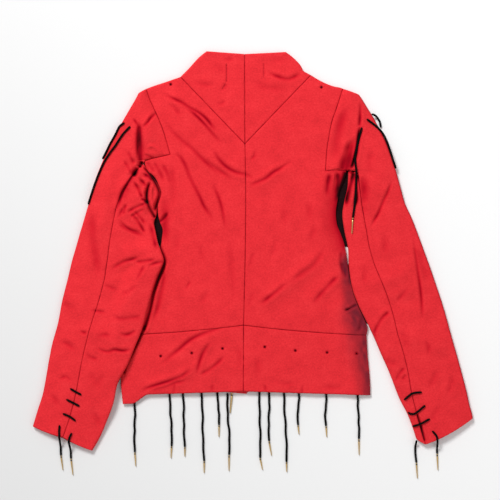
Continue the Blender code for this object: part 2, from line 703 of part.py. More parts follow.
def seat_aglet(name, route, tip, brass, collection):
    """An aglet that starts just off the end of its lace, clear of it where the two make an angle."""
    end = Vector(route[-1])
    ahead = (Vector(tip) - end).normalized()
    bend = ahead.angle((end - Vector(route[-2])).normalized(), 0.0)
    start = end + ahead * (SEAM_GAP + AGLET / 2 * math.sin(bend))
    aglet(name, (start.x, start.y, tip[2]), tip, brass, collection)


def lace_end(name, route, tip, materials, collection):
    """A lace with its aglet, which lies on the floor."""
    cord, brass = materials
    lace(name, route, cord, collection)
    seat_aglet(name.replace("lace", "aglet"), route, (*tip, AGLET_HEIGHT), brass, collection)


def make_body(collection, cotton, front_cotton):
    """Back, collar and skirt on top, with the plain front under them."""
    cloth = []
    for side, collar, armscye, underarm, edge, skirt, bow in (
            ("left", COLLAR_LEFT, ARMSCYE_LEFT, UNDERARM_CENTRE_LEFT, SIDE_LEFT, SKIRT_LEFT,
             SHOULDER_BOW_LEFT),
            ("right", COLLAR_RIGHT, ARMSCYE_RIGHT, UNDERARM_CENTRE_RIGHT, SIDE_RIGHT, SKIRT_RIGHT,
             SHOULDER_BOW_RIGHT)):
        back = (back_low, back_high, cotton, collection)
        front = (front_low, front_high, front_cotton, collection)
        cloth += [
            panel("collar_" + side, collar_rows(side, collar), COLLAR_COLUMNS, *back),
            panel("back_" + side, back_rows(side, collar[-1], armscye, underarm, edge, bow), BACK_COLUMNS,
                  *back, soft_top=True),
            panel("skirt_back_" + side, skirt_rows(side, skirt, CENTRE_WAIST[0]), SKIRT_COLUMNS, *back,
                  warp=hem_shape)]
        top_edge = collar if side == "left" else collar + FRONT_SHOULDER_RIGHT
        panel("front_" + side, front_rows(side, top_edge, armscye, edge), FRONT_COLUMNS, *front)
        panel("skirt_front_" + side, skirt_rows(side, skirt, CLOSING_X), FRONT_HEM_COLUMNS, *front,
              warp=front_hem_shape)
    return cloth


def make_sleeves(collection, cotton):
    """Two-piece sleeves, the left one over the side of the body."""
    cloth = []
    for side, armscye, head, rows, base in (
            ("left", ARMSCYE_LEFT, HEAD_EDGE_LEFT, SLEEVE_LEFT, over_body),
            ("right", ARMSCYE_RIGHT, HEAD_EDGE_RIGHT, SLEEVE_RIGHT, on_floor)):
        outer = outer_sections(armscye, head, rows)
        inner = inner_sections(rows)
        cloth.append(sleeve_piece("sleeve_" + side + "_outer", outer, base, cotton, collection))
        cloth.append(sleeve_piece("sleeve_" + side + "_inner", inner, base, cotton, collection))
    return cloth


def make_laces(collection, tree, cord, brass):
    """Laces under the hem, at the cuffs, on the shoulders and at the right underarm."""
    ends = (cord, brass)
    for number, row in enumerate(HEM_LACES, 1):
        lace_end("hem_lace_%02d" % number, hem_lace_route(row), row.aglet_tip, ends, collection)
    top = (LOOSE_AGLET_X, below_hem_y(LOOSE_AGLET_X), AGLET_HEIGHT)
    aglet("hem_aglet_loose", top, (*LOOSE_AGLET_TIP, AGLET_HEIGHT), brass, collection)
    for name, points in CUFF_BARS + SHOULDER_LACES:
        lace(name, lie_route(tree, points, LACE / 2), cord, collection)
    for name, points, tip in CUFF_LACES:
        lace_end(name, lie_route(tree, points, LACE / 2), tip, ends, collection)
    route = lie_route(tree, UNDERARM_LACE, LACE / 2)
    lace("underarm_lace", route, cord, collection)
    middle = between(route[-1][:2], UNDERARM_TIP, 0.5)
    height = max(lie_height(tree, x, y, AGLET / 2) for x, y in (route[-1][:2], middle, UNDERARM_TIP))
    seat_aglet("underarm_aglet", route, (*UNDERARM_TIP, height), brass, collection)


def build():
    clear_scene()
    collection = bpy.data.collections.new("arming_doublet")
    bpy.context.scene.collection.children.link(collection)
    cotton = finish("red_cotton", RED, 0.85)
    front_cotton = finish("red_cotton_front", DULL_RED, 0.88)
    cord = finish("black_lace", BLACK, 0.7)
    brass = finish("brass", BRASS, 0.3, 1.0)
    cloth = make_body(collection, cotton, front_cotton) + make_sleeves(collection, cotton)
    make_laces(collection, cloth_tree(cloth), cord, brass)


build()
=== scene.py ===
"""Arming doublet of padded red cotton with black laces, laid flat with its back up."""
import json
import math
from collections import namedtuple

import bpy
import numpy as np
from mathutils import Matrix, Vector
from mathutils.bvhtree import BVHTree

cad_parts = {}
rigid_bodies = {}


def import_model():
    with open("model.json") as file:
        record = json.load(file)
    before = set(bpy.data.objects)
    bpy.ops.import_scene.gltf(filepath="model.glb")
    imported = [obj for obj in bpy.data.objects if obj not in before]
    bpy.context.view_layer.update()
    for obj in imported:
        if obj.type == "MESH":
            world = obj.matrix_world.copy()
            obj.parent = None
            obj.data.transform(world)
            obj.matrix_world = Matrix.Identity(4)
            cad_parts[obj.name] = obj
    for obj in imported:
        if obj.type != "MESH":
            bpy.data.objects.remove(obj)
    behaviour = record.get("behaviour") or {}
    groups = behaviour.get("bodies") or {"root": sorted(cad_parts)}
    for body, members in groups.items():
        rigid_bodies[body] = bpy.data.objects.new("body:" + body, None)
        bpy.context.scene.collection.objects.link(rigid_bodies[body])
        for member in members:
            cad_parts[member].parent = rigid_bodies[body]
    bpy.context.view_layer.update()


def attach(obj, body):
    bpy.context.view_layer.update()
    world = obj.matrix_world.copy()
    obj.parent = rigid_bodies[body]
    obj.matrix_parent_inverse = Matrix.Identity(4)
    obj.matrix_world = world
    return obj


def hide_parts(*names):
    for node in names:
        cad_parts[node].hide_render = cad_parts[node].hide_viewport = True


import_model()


# The pale board that the doublet was laid on, seen from straight above in soft daylight.
# Painted light: the board's colour runs from a little grey at the left to near white at the right.
FLOOR_SIZE = 7.0
FLOOR_DROP = 0.0003
FLOOR_LEFT_PAINTED_LIGHT = 0.745
FLOOR_RIGHT_PAINTED_LIGHT = 0.925
SKY_STRENGTH = 0.43
VIEW_WIDTH = 0.975
VIEW_CENTRE = (-0.0056, 0.0016)
LENS = 85.0
SENSOR = 36.0

bpy.ops.object.select_all(action="DESELECT")
bpy.ops.mesh.primitive_plane_add(size=FLOOR_SIZE, location=(0, 0, -FLOOR_DROP))
board = bpy.context.object
board.name = "board"
bpy.ops.object.transform_apply(location=True, rotation=True, scale=True)

board_painted_light = bpy.data.materials.new("board_painted_light")
board_painted_light.use_nodes = True
tree = board_painted_light.node_tree
shader = tree.nodes["Principled BSDF"]
shader.inputs["Roughness"].default_value = 0.9
shader.inputs["Specular IOR Level"].default_value = 0.2
place = tree.nodes.new("ShaderNodeTexCoord")
across = tree.nodes.new("ShaderNodeMapping")
across.inputs["Location"].default_value = (0.5, 0.5, 0)
# Painted light: a gradient across the board, darker at the left and lighter at the right.
fade = tree.nodes.new("ShaderNodeTexGradient")
tones = tree.nodes.new("ShaderNodeValToRGB")
tones.color_ramp.elements[0].position = 0.0
tones.color_ramp.elements[0].color = (FLOOR_LEFT_PAINTED_LIGHT, FLOOR_LEFT_PAINTED_LIGHT, FLOOR_LEFT_PAINTED_LIGHT, 1)
tones.color_ramp.elements[1].position = 1.0
tones.color_ramp.elements[1].color = (FLOOR_RIGHT_PAINTED_LIGHT, FLOOR_RIGHT_PAINTED_LIGHT, FLOOR_RIGHT_PAINTED_LIGHT, 1)
tree.links.new(place.outputs["Object"], across.inputs["Vector"])
tree.links.new(across.outputs["Vector"], fade.inputs["Vector"])
tree.links.new(fade.outputs["Fac"], tones.inputs["Fac"])
tree.links.new(tones.outputs["Color"], shader.inputs["Base Color"])
board.data.materials.append(board_painted_light)


def lamp(name, place, size, power):
    """A soft rectangular lamp that faces the middle of the garment."""
    data = bpy.data.lights.new(name, "AREA")
    data.size = size
    data.energy = power
    item = bpy.data.objects.new(name, data)
    item.location = place
    item.rotation_euler = (-Vector(place)).to_track_quat("-Z", "Y").to_euler()
    bpy.context.scene.collection.objects.link(item)


lamp("window", place=(-1.3, 2.3, 2.9), size=1.1, power=127)
lamp("fill", place=(1.4, -0.9, 2.4), size=2.2, power=12)

sky = bpy.data.worlds.new("sky")
sky.use_nodes = True
sky.node_tree.nodes["Background"].inputs["Color"].default_value = (1, 1, 1, 1)
sky.node_tree.nodes["Background"].inputs["Strength"].default_value = SKY_STRENGTH
bpy.context.scene.world = sky
bpy.context.scene.view_settings.view_transform = "Standard"

view = bpy.data.cameras.new("overhead")
view.lens = LENS
view.sensor_width = SENSOR
overhead = bpy.data.objects.new("overhead", view)
overhead.location = (*VIEW_CENTRE, VIEW_WIDTH * LENS / SENSOR)
bpy.context.scene.collection.objects.link(overhead)
bpy.context.scene.camera = overhead


# The two back panels: padded red cotton, cut to the shoulder, armhole and waist, and sewn to each
# other down the centre back. Their outer edges roll round the side and over the shoulder.
MM = 0.001
SEAM_GAP = 0.34
BACK_UNDERSIDE = 4.6
BACK_TOP = 9.6
BODY_CROWN = 3.0
BODY_MIDDLE = -15.0
BODY_HALF = 225.0
THINNEST = 1.3
STEP = 1.5
HIDDEN_STEP = 5
SOFT_STEPS = (0.0, 0.25, 0.7, 1.4, 2.4, 3.8, 5.4, 7.2)
SEAM_STEPS = (0.0, 0.45, 1.0, 1.8, 2.9)
SEAM_DIP = 1.6
SEAM_REACH = 1.1
SEAM_PUCKER = 0.3
PUCKER_REACH = 6.0
SEAM_PAINTED_SHADE = 0.4
SEAM_PAINTED_SHADE_REACH = 0.9
SEAM_PAINTED_SHADE_UNEVEN = 0.2
PUCKER_SIZE = 9
FOLD_END = 0.3

# The section of a crease, in widths of the crease, and of a lap, in mm and in reaches of the lap.
# A crease under the soft width is sharp.
SOFT_WIDTH = 6.0
SHADE_DEPTH = 3.8
SHADE_ADDED = 0.35
CREASE_UNEVEN = 0.22
CREASE_BEATS = 9
SHARP_NARROWER = 0.62
SHARP_TIP = 0.3
SHARP_GAIN = 1.25
SHARP_BRIM_AT = 2.8
SHARP_BRIM_WIDTH = 1.6
SHARP_BRIM = 0.25
SHARP_SHADE_WIDTH = 1.35
SOFT_BRIM_WIDTH = 2.3
SOFT_BRIM = 0.4
SOFT_SHADE = 0.6
LAP_RAISED = 0.45
LAP_PRESSED = 0.55
LAP_PRESSED_REACH = 0.6
LAP_SHADE_ASIDE = 1.6
LAP_SHADE_REACH = 2.4

# Handled cotton, from bumps of three sizes and from ridges.
BROAD_SIZE = 44
MIDDLE_SIZE = 21
FINE_SIZE = 7.5
RIDGE_SIZE = 30
BROAD_SHARE = 0.8
MIDDLE_SHARE = 0.45
MIDDLE_LEAST = 0.7
FINE_SHARE = 0.13
RIDGE_SHARE = 0.35

SIDE_ROLL = {"left": (6.0, 2.4), "right": (30.0, 1.8)}
SHOULDER_ROLL = (5.0, 2.6)
BACK_COLUMNS = 120
SIDE_PUFF = 3.0
SIDE_PUFF_IN = 32.0
SIDE_PUFF_REACH = 15.0

V_POINT = (-15.5, 207.5)
CENTRE_WAIST = (-18.0, -144.5)
V_TOP_LEFT = (-141.0, 338.0)
V_TOP_RIGHT = (113.0, 341.5)
ARMSCYE_LEFT = (
    (-207.5, 315.0), (-201.0, 296.0), (-193.0, 278.0), (-180.0, 249.0),
    (-169.0, 217.0), (-160.5, 187.0), (-208.5, 176.0))
ARMSCYE_RIGHT = (
    (175.0, 315.5), (170.0, 301.0), (163.0, 279.0), (153.5, 251.0),
    (148.0, 225.0), (143.5, 194.0), (140.5, 155.0), (180.5, 156.5))
SIDE_LEFT = (
    (-209.8, 167.5), (-203.0, 153.5), (-196.5, 148.5), (-189.0, 140.0), (-183.0, 127.0),
    (-178.5, 113.0), (-181.0, 101.0),
    (-185.0, 87.0), (-184.5, 72.0), (-181.0, 56.0), (-175.5, 41.0), (-177.0, 25.0), (-179.5, 9.0),
    (-188.0, -14.0), (-203.0, -43.0), (-222.0, -78.0), (-238.0, -106.0), (-252.0, -140.0),
    (-254.0, -164.0))
SIDE_RIGHT = (
    (181.0, 150.0), (175.5, 134.0), (168.5, 118.0), (165.0, 100.0), (161.5, 76.0),
    (163.5, 52.0), (170.5, 34.0), (177.5, 14.0), (181.5, -6.0), (184.0, -24.0), (192.0, -71.0),
    (204.0, -106.0), (217.0, -134.0), (223.0, -149.0), (221.0, -164.0))
UNDERARM_CENTRE_LEFT = (190.0, 178.0)
UNDERARM_CENTRE_RIGHT = (168.0, 155.5)
WAIST_BOW = -2.6
CENTRE_SWAY = 2.6

# A crease is a soft trough or ridge along its points. A lap is a step: the cloth on the left of
# its points lies over the cloth on their right.
# Shade is painted along each trough and lap; some of the darker ones below stand mostly for shadow.
Crease = namedtuple("Crease", "width depth fade_in fade_out points")
Lap = namedtuple("Lap", "width height reach fade_in fade_out points")

BODY_FOLDS = (
    Crease(15, 3.4, 0.2, 0.2, ((-192, 313), (-38, 207))),
    Crease(16, 2.6, 0.2, 0.2, ((-162, 273), (-80, 194))),
    Crease(20, 3.0, 0.2, 0.2, ((-136, 148), (-24, 22))),
    Crease(14, 2.2, 0.2, 0.2, ((-9, 122), (89, 164))),
    Crease(15, 3.4, 0.2, 0.2, ((-2, -122), (150, 2))),
    Crease(14, 3.0, 0.2, 0.2, ((97, -108), (189, -38))),
    Crease(14, 3.2, 0.2, 0.2, ((-228, -281), (-65, -203))),
    Crease(15, 2.6, 0.2, 0.2, ((-195, -245), (-56, -153))))
# A trough beside the left sleeve with the sleeve's shadow painted in, running from the back into the skirt.
SLEEVE_SHADOW_CREASE = Crease(3.2, -5.6, 0.03, 0.05, (
    (-209.1, -143.7), (-213, -152.5), (-224, -175.9), (-236.6, -201.2), (-247.4, -222.7), (-252.2, -240.2)))
BACK_CREASES = (
    Crease(4.0, -2.4, 0.25, 0.25, ((-175, 306), (-160, 298), (-138, 288), (-123, 278), (-103, 267),
                                 (-89, 255), (-78, 241), (-66, 226))),
    Crease(4.0, -2.1, 0.3, 0.3, ((-140, 280), (-126, 275), (-111, 263), (-95, 247), (-84, 234),
                                 (-72, 220), (-56, 204))),
    Crease(5.0, -1.0, 0.4, 0.4, ((-162, 288), (-150, 275), (-140, 259))),
    Crease(5.0, -1.5, 0.4, 0.3, ((-175, 259), (-160, 236), (-140, 216), (-119, 199), (-101, 181),
                                 (-86, 167), (-72, 154), (-60, 136))),
    Crease(4.5, -2.0, 0.3, 0.3, ((-84, 204), (-72, 187), (-60, 171), (-47, 160), (-31, 152),
                                 (-15, 148), (-2, 142), (8, 132))),
    Crease(5.0, -1.2, 0.4, 0.4, ((-99, 187), (-84, 171), (-68, 158), (-50, 146), (-35, 132))),
    Crease(4.5, -2.0, 0.2, 0.3, ((-156, 195), (-140, 181), (-130, 163), (-123, 144), (-113, 124),
                                 (-103, 105), (-95, 87), (-84, 70), (-72, 48))),
    Crease(6.0, -1.1, 0.3, 0.4, ((-158, 177), (-156, 148), (-154, 115), (-156, 76))),
    Crease(4.5, -1.4, 0.2, 0.4, ((-193, 173), (-181, 154), (-171, 130))),
    Crease(4.5, -1.3, 0.2, 0.4, ((-177, 171), (-165, 148), (-158, 124))),
    Crease(4.0, -1.2, 0.2, 0.4, ((-206, 173), (-197, 161), (-189, 150))),
    Crease(4.0, -1.7, 0.3, 0.3, ((-78, 142), (-74, 122), (-66, 103), (-60, 83), (-56, 60), (-50, 35))),
    Crease(6.0, -0.8, 0.3, 0.3, ((-47, 37), (-43, 2), (-41, -37), (-37, -80), (-37, -112))),
    Crease(5.0, -1.5, 0.3, 0.3, ((-175, -22), (-173, -41), (-175, -67), (-181, -96), (-189, -123),
                                 (-199, -145))),
    Crease(3.5, -1.0, 0.4, 0.4, ((-121, -55), (-126, -67), (-134, -76))),
    Crease(6.0, -0.7, 0.4, 0.4, ((-111, 21), (-101, -2), (-97, -30))),
    Crease(7.0, -0.7, 0.4, 0.4, ((-142, 44), (-148, 17), (-146, -10))),
    Crease(6.0, -0.7, 0.4, 0.4, ((-80, -73), (-93, -88), (-105, -108))),
    Crease(4.2, -2.0, 0.15, 0.4, ((-9, 126), (6, 132), (24, 140), (39, 152), (55, 161), (70, 171),
                                 (84, 183))),
    Crease(4.0, -1.1, 0.4, 0.4, ((-8, 175), (2, 183), (6, 199))),
    Crease(4.5, -2.0, 0.3, 0.4, ((12, -106), (26, -94), (39, -84), (55, -71), (70, -59))),
    Crease(6.0, -1.8, 0.3, 0.3, ((69, -65), (86, -51), (102, -39), (115, -30), (125, -18), (133, -6),
                                 (143, 5))),
    Crease(5.0, -1.9, 0.4, 0.2, ((113, -108), (123, -94), (133, -82), (145, -69), (156, -57),
                                 (170, -49))),
    Crease(2.6, -5.0, 0.3, 0.1, ((176, -117), (189, -112), (203, -104))),
    Crease(3.5, -2.8, 0.2, 0.2, ((172, -22), (178, -37), (182, -55))),
    Crease(3.5, -2.2, 0.2, 0.2, ((184, -22), (189, -37), (195, -51))),
    # Painted shade where the back turns down into the right underarm opening, over a trough.
    Crease(4.8, -5, 0.06, 0.35, ((181.3, 154.6), (177.4, 140), (171.5, 124.4), (165.7, 108.8),
                                 (161.8, 91.3))),
    Crease(5.5, -2.2, 0.2, 0.4, ((150, 152), (145, 130), (143, 103))),
    Crease(4.0, 1.6, 0.2, 0.4, ((157, 153), (156, 130), (153, 108))),
    Crease(4.5, -2.4, 0.2, 0.4, ((164, 154), (166, 130), (162, 105))),
    Crease(6.0, -0.7, 0.4, 0.4, ((59, 99), (61, 72), (59, 44))),
    Crease(6.0, -0.7, 0.4, 0.4, ((47, 29), (41, 2), (33, -22))),
    Crease(5.0, -0.7, 0.4, 0.4, ((6, 2), (-2, -14), (-6, -34))),
    Crease(5.0, -0.7, 0.4, 0.4, ((0, -76), (-4, -92), (-8, -112))),
    Crease(3.5, -2.2, 0.3, 0.3, ((209, -131), (209, -147), (203, -160))),
    Crease(6.0, -0.9, 0.4, 0.4, ((104, 107), (109, 80), (108, 48))),
    Crease(6.0, -0.8, 0.4, 0.4, ((123, 56), (115, 33), (109, 9))),
    # Painted shadow where the left sleeve lies on the back, along the sleeve's edge, over a narrow trough.
    Crease(4, -6.5, 0.05, 0.03, ((-184, 17.2), (-179.1, 0.6), (-173.6, -11.1), (-171.7, -21.8),
                                 (-175.6, -35.5), (-182.4, -51.1), (-187.9, -66.7), (-193.1, -82.3),
                                 (-196.7, -101.8), (-200.6, -119.3), (-205.4, -134.9), (-209.5, -146.6),
                                 (-214.6, -157.4))),
    Crease(7, -0.9, 0.3, 0.3, ((-166.4, -21.8), (-176.2, -62.8), (-183, -88.1), (-186.9, -119.3))),
    Crease(3.3, -3.6, 0.3, 0.15, ((-164.5, 77.6), (-169.4, 67.9), (-177.2, 59.1), (-185.9, 55.2))),
    # Painted shade on the body beside the left armhole's edge, over a soft trough.
    Crease(8, -3, 0.3, 0.3, ((-173.3, 110.8), (-170.3, 87.4), (-170.3, 64), (-171.3, 28.9), (-169.4, 1.6))),
    Crease(3.4, -2, 0.2, 0.4, ((171.9, 1.6), (170.9, -21.8), (174.8, -41.3), (176.8, -56.9))),
    Crease(4, -2.4, 0.2, 0.3, ((179.7, -6.2), (184.6, -25.7), (189.4, -45.2), (188.5, -64.7),
                                 (191.4, -80.3))),
    Crease(3.2, -1.5, 0.3, 0.2, ((171.9, -21.8), (179.7, -33.5), (182.6, -47.2))),
    Crease(3, 1.6, 0.3, 0.3, ((184.6, -10.1), (189.4, -29.6), (194.3, -51.1))),
    Crease(3.4, -1.8, 0.3, 0.3, ((210.9, -107.6), (212.8, -131), (208, -154.4))),
    SLEEVE_SHADOW_CREASE)
# Shade painted on the body's right side where it turns down to the board: red higher up, dull and dark
# lower down.
RED_SHADE = 0.5
RED_REACH = 18.0
DULL_SHADE = 0.84
PAINTED_SIDE_SHADE_FROM_Y = 10.0
PAINTED_SIDE_SHADE_FADE = 30.0
HIP_Y = -185.0
HIP_FADE = 50.0
PAINTED_SIDE_SHADE_REACH = (
    (-280.0, 18.0), (-252.0, 22.0), (-213.0, 28.0), (-175.0, 36.0), (-155.0, 39.0), (-135.0, 39.0),
    (-115.0, 31.0), (-96.0, 22.0), (-57.0, 17.0), (-22.0, 15.0), (2.0, 10.0))

# Where the eyelets are: seven round the skirt, then one at each shoulder. The cloth is pulled in
# round each of them.
EYELET_DIP = 2.2
EYELET_DIP_REACH = 2.6
EYELET_PULL = 0.55
EYELET_PULL_REACH = 7.0
EYELET_PAINTED_SHADE = 0.5
EYELETS = (
    (-179.0, -204.4), (-118.7, -198.1), (-59.0, -189.5), (23.1, -186.4), (82.2, -193.4),
    (144.0, -197.3), (201.1, -199.3), (-159.6, 323.3), (132.9, 317.5))


def side_shade(aside, y):
    """Painted shade on the body's right side, where it turns down towards the board: how red, how dull."""
    low = eased((PAINTED_SIDE_SHADE_FROM_Y - y) / PAINTED_SIDE_SHADE_FADE)
    waist = low * eased((y - HIP_Y) / HIP_FADE)
    reach = np.interp(y, *np.transpose(PAINTED_SIDE_SHADE_REACH))
    crumpled = 0.9 + 0.22 * bumps(aside * 2, y, size=12, seed=9)
    red = RED_SHADE * (1 - low) * np.exp(-(np.abs(aside) / RED_REACH) ** 1.3)
    painted_side_shade = DULL_SHADE * low * crumpled * np.exp(-(np.abs(aside) / reach) ** (2.0 + 2.0 * waist))
    return red, painted_side_shade


def eased(value):
    """From 0 to 1 as the value goes from 0 to 1, with soft ends."""
    value = np.clip(value, 0.0, 1.0)
    return value * value * (3 - 2 * value)


def rounded(value, power=2.0):
    """Height of a rounded edge at a place from it, both from 0 to 1. More power is boxier."""
    return np.clip(1 - (1 - np.clip(value, 0.0, 1.0)) ** power, 0.0, 1.0) ** (1 / power)


def along(points, places, corners=()):
    """Places on a smooth curve through a list of points, which is sharp only at its corners."""
    points = np.array(points, float)
    steps = np.diff(points, axis=0)
    last = len(points) - 1
    leave = np.zeros_like(points)
    arrive = np.zeros_like(points)
    for number in range(last + 1):
        before = steps[max(number - 1, 0)]
        after = steps[min(number, last - 1)]
        both = (before + after) / 2
        shorter = 1.3 * min(np.linalg.norm(before), np.linalg.norm(after))
        both = both * min(1.0, shorter / max(np.linalg.norm(both), 1e-6))
        sharp = number in corners or number in (0, last)
        leave[number] = after if sharp else both
        arrive[number] = before if sharp else both
    number = np.clip(np.floor(places).astype(int), 0, last - 1)
    t = (np.array(places) - number)[:, None]
    start, end = points[number], points[number + 1]
    return ((2 * t ** 3 - 3 * t ** 2 + 1) * start + (t ** 3 - 2 * t ** 2 + t) * leave[number]
            + (3 * t ** 2 - 2 * t ** 3) * end + (t ** 3 - t ** 2) * arrive[number + 1])


def smooth_line(points, corners=(), parts=4):
    """A list of points drawn as a smooth line."""
    count = (len(points) - 1) * parts
    return along(points, np.arange(count + 1) / parts, corners)


def nearest(x, y, line):
    """Distance of each place from a line, less than 0 on its left, and its share of the way."""
    gap = np.full(x.shape, 1e9)
    side = np.ones(x.shape)
    share = np.zeros(x.shape)
    lengths = np.hypot(*np.diff(line, axis=0).T)
    done = 0.0
    for (ax, ay), (bx, by), length in zip(line, line[1:], lengths):
        t = np.clip(((x - ax) * (bx - ax) + (y - ay) * (by - ay)) / length ** 2, 0, 1)
        here = np.hypot(x - ax - (bx - ax) * t, y - ay - (by - ay) * t)
        closer = here < gap
        turn = (x - ax) * (by - ay) - (y - ay) * (bx - ax)
        side = np.where(closer, np.where(turn < 0, -1.0, 1.0), side)
        share = np.where(closer, (done + t * length) / lengths.sum(), share)
        gap = np.where(closer, here, gap)
        done += length
    return gap * side, share


def bumps(x, y, size, seed):
    """Soft random bumps of one size, from -1 to 1."""
    table = np.random.default_rng(seed).uniform(-1, 1, (64, 64))
    u, v = x / size + 100, y / size + 100
    column, row = np.floor(u).astype(int), np.floor(v).astype(int)
    across, up = eased(u - column), eased(v - row)
    low = table[row % 64, column % 64] * (1 - across) + table[row % 64, (column + 1) % 64] * across
    high = (table[(row + 1) % 64, column % 64] * (1 - across)
            + table[(row + 1) % 64, (column + 1) % 64] * across)
    return low * (1 - up) + high * up


def handled(x, y, seed):
    """The small soft unevenness of handled cotton."""
    broad = bumps(x + 0.4 * y, y - 0.4 * x, BROAD_SIZE, seed)
    middle = bumps(x - 0.7 * y, y + 0.7 * x, MIDDLE_SIZE, seed + 1)
    fine = bumps(x + 0.2 * y, y - 0.2 * x, FINE_SIZE, seed + 2)
    ridge = 0.5 - np.abs(bumps(x + 0.9 * y, y - 0.5 * x, RIDGE_SIZE, seed + 3))
    coarse = BROAD_SHARE * broad + MIDDLE_SHARE * middle * (MIDDLE_LEAST + broad)
    return coarse + FINE_SHARE * fine + RIDGE_SHARE * ridge


def darken(depth, near, fold, shade):
    """Adds one fold's painted shade. Deep folds level off, and where two meet the darker one leads."""
    tone = (1 - math.exp(-abs(fold) / SHADE_DEPTH)) * shade
    depth[near] = np.maximum(depth[near], tone) + SHADE_ADDED * np.minimum(depth[near], tone)


def folds_at(x, y, creases):
    """How far the creases and laps lift the cloth at each place, and how much shade is painted there."""
    height = np.zeros(x.shape)
    depth = np.zeros(x.shape)
    for crease in creases:
        line = smooth_line(crease.points)
        lap = isinstance(crease, Lap)
        far = 3 * crease.reach if lap else 6 * crease.width
        low, high = line.min(0) - far, line.max(0) + far
        near = (x > low[0]) & (x < high[0]) & (y > low[1]) & (y < high[1])
        if not near.any():
            continue
        aside, share = nearest(x[near], y[near], line)
        ends = eased(share / crease.fade_in) * eased((1 - share) / crease.fade_out)
        ends *= 1 + CREASE_UNEVEN * np.sin(share * CREASE_BEATS + crease.points[0][0])
        if lap:
            # A step, with the upper cloth raised a little and the lower one pressed down beside it.
            over = LAP_RAISED * np.exp(-(np.minimum(aside, 0) / crease.reach) ** 2)
            beneath = -LAP_PRESSED * np.exp(-np.maximum(aside, 0) / (LAP_PRESSED_REACH * crease.reach))
            side = np.tanh(aside / crease.width)
            height[near] += crease.height * ends * (over * (1 - side) + beneath * (1 + side)) / 2
            # Shade is painted on the lower cloth just beside the step.
            beside = np.abs(aside - math.copysign(LAP_SHADE_ASIDE, crease.height))
            darken(depth, near, crease.height, ends * np.exp(-beside / LAP_SHADE_REACH))
            continue
        sharp = crease.width < SOFT_WIDTH
        part = np.abs(aside) / (crease.width * (SHARP_NARROWER if sharp else 1.0))
        if sharp:
            # A narrow trough or ridge with a low brim on each side.
            middle = np.exp(SHARP_TIP - np.hypot(part, SHARP_TIP))
            brim = np.exp(-((part - SHARP_BRIM_AT) / SHARP_BRIM_WIDTH) ** 2)
            height[near] += SHARP_GAIN * crease.depth * ends * (middle - SHARP_BRIM * brim)
            shade = np.exp(-(part / SHARP_SHADE_WIDTH) ** 2)
        else:
            # A wide, soft one, whose brim runs out slowly.
            middle = np.exp(-part ** 2)
            brim = np.exp(-(part / SOFT_BRIM_WIDTH) ** 2)
            height[near] += crease.depth * ends * (middle - SOFT_BRIM * brim) / (1 - SOFT_BRIM)
            shade = SOFT_SHADE * middle
        # Shade is painted into troughs only, not ridges.
        darken(depth, near, min(crease.depth, 0), ends * shade)
    return height, depth


def seams_at(x, y, lines, seed):
    """A seam pulls the cloth down beside it, a little unevenly, and shade is painted along it."""
    height = np.zeros(x.shape)
    depth = np.zeros(x.shape)
    for line in lines:
        aside = np.abs(nearest(x, y, line)[0])
        pucker = bumps(x, y, PUCKER_SIZE, seed + 5)
        height -= SEAM_DIP * (1 + SEAM_PUCKER * pucker) * np.exp(-aside / SEAM_REACH)
        height += SEAM_PUCKER * pucker * np.exp(-aside / PUCKER_REACH)
        depth += (SEAM_PAINTED_SHADE + SEAM_PAINTED_SHADE_UNEVEN * pucker) * np.exp(-(aside / SEAM_PAINTED_SHADE_REACH) ** 2)
    return height, depth


def eyelets_at(x, y):
    """The cloth is pulled in round each eyelet, and shade is painted in the dip."""
    height = np.zeros(x.shape)
    depth = np.zeros(x.shape)
    for ex, ey in EYELETS:
        gap = np.hypot(x - ex, y - ey)
        spokes = 1 + 0.35 * np.cos(5 * np.arctan2(y - ey, x - ex) + ex)
        dip = np.exp(-(gap / EYELET_DIP_REACH) ** 2)
        height -= EYELET_DIP * dip + EYELET_PULL * spokes * np.exp(-(gap / EYELET_PULL_REACH) ** 2)
        depth += EYELET_PAINTED_SHADE * dip
    return height, depth


def big_folds(x, y, folds):
    """The largest folds, which run straight and which the solids have too."""
    total = np.zeros(x.shape)
    for fold in folds:
        (ax, ay), (bx, by) = fold.points
        length = math.hypot(bx - ax, by - ay)
        share = ((x - ax) * (bx - ax) + (y - ay) * (by - ay)) / length ** 2
        aside = ((x - ax) * (by - ay) - (y - ay) * (bx - ax)) / length
        ends = eased(share / FOLD_END) * eased((1 - share) / FOLD_END)
        total += fold.depth * ends * np.exp(-(aside / fold.width) ** 2)
    return total


def body_form(x, y):
    """Top of the back layer, a little higher in the middle, with its largest folds."""
    middle = np.clip(1 - ((x - BODY_MIDDLE) / BODY_HALF) ** 2, 0, 1)
    return BACK_TOP + BODY_CROWN * middle + big_folds(x, y, BODY_FOLDS)


def side_puff(aside):
    """How much the padding swells on the right, just inside the roll at the side."""
    return SIDE_PUFF * np.exp(-((aside - SIDE_PUFF_IN) / SIDE_PUFF_REACH) ** 2)


def hidden_side(rows, columns, first):
    """Large faces for the hidden side of a wall, which keep every point round its rim."""
    downs = [*range(0, rows - 1, HIDDEN_STEP), rows - 1]
    acrosses = [*range(0, columns - 1, HIDDEN_STEP), columns - 1]
    faces = []
    for top, bottom in zip(downs, downs[1:]):
        for left, right in zip(acrosses, acrosses[1:]):
            down = range(top, bottom) if left == 0 else (top,)
            over = range(left, right) if bottom == rows - 1 else (left,)
            up = range(bottom, top, -1) if right == columns - 1 else (bottom,)
            back = range(right, left, -1) if top == 0 else (right,)
            face = [first + row * columns + left for row in down]
            face += [first + bottom * columns + column for column in over]
            face += [first + row * columns + right for row in up]
            face += [first + top * columns + column for column in back]
            faces.append(face[::-1])
    return faces


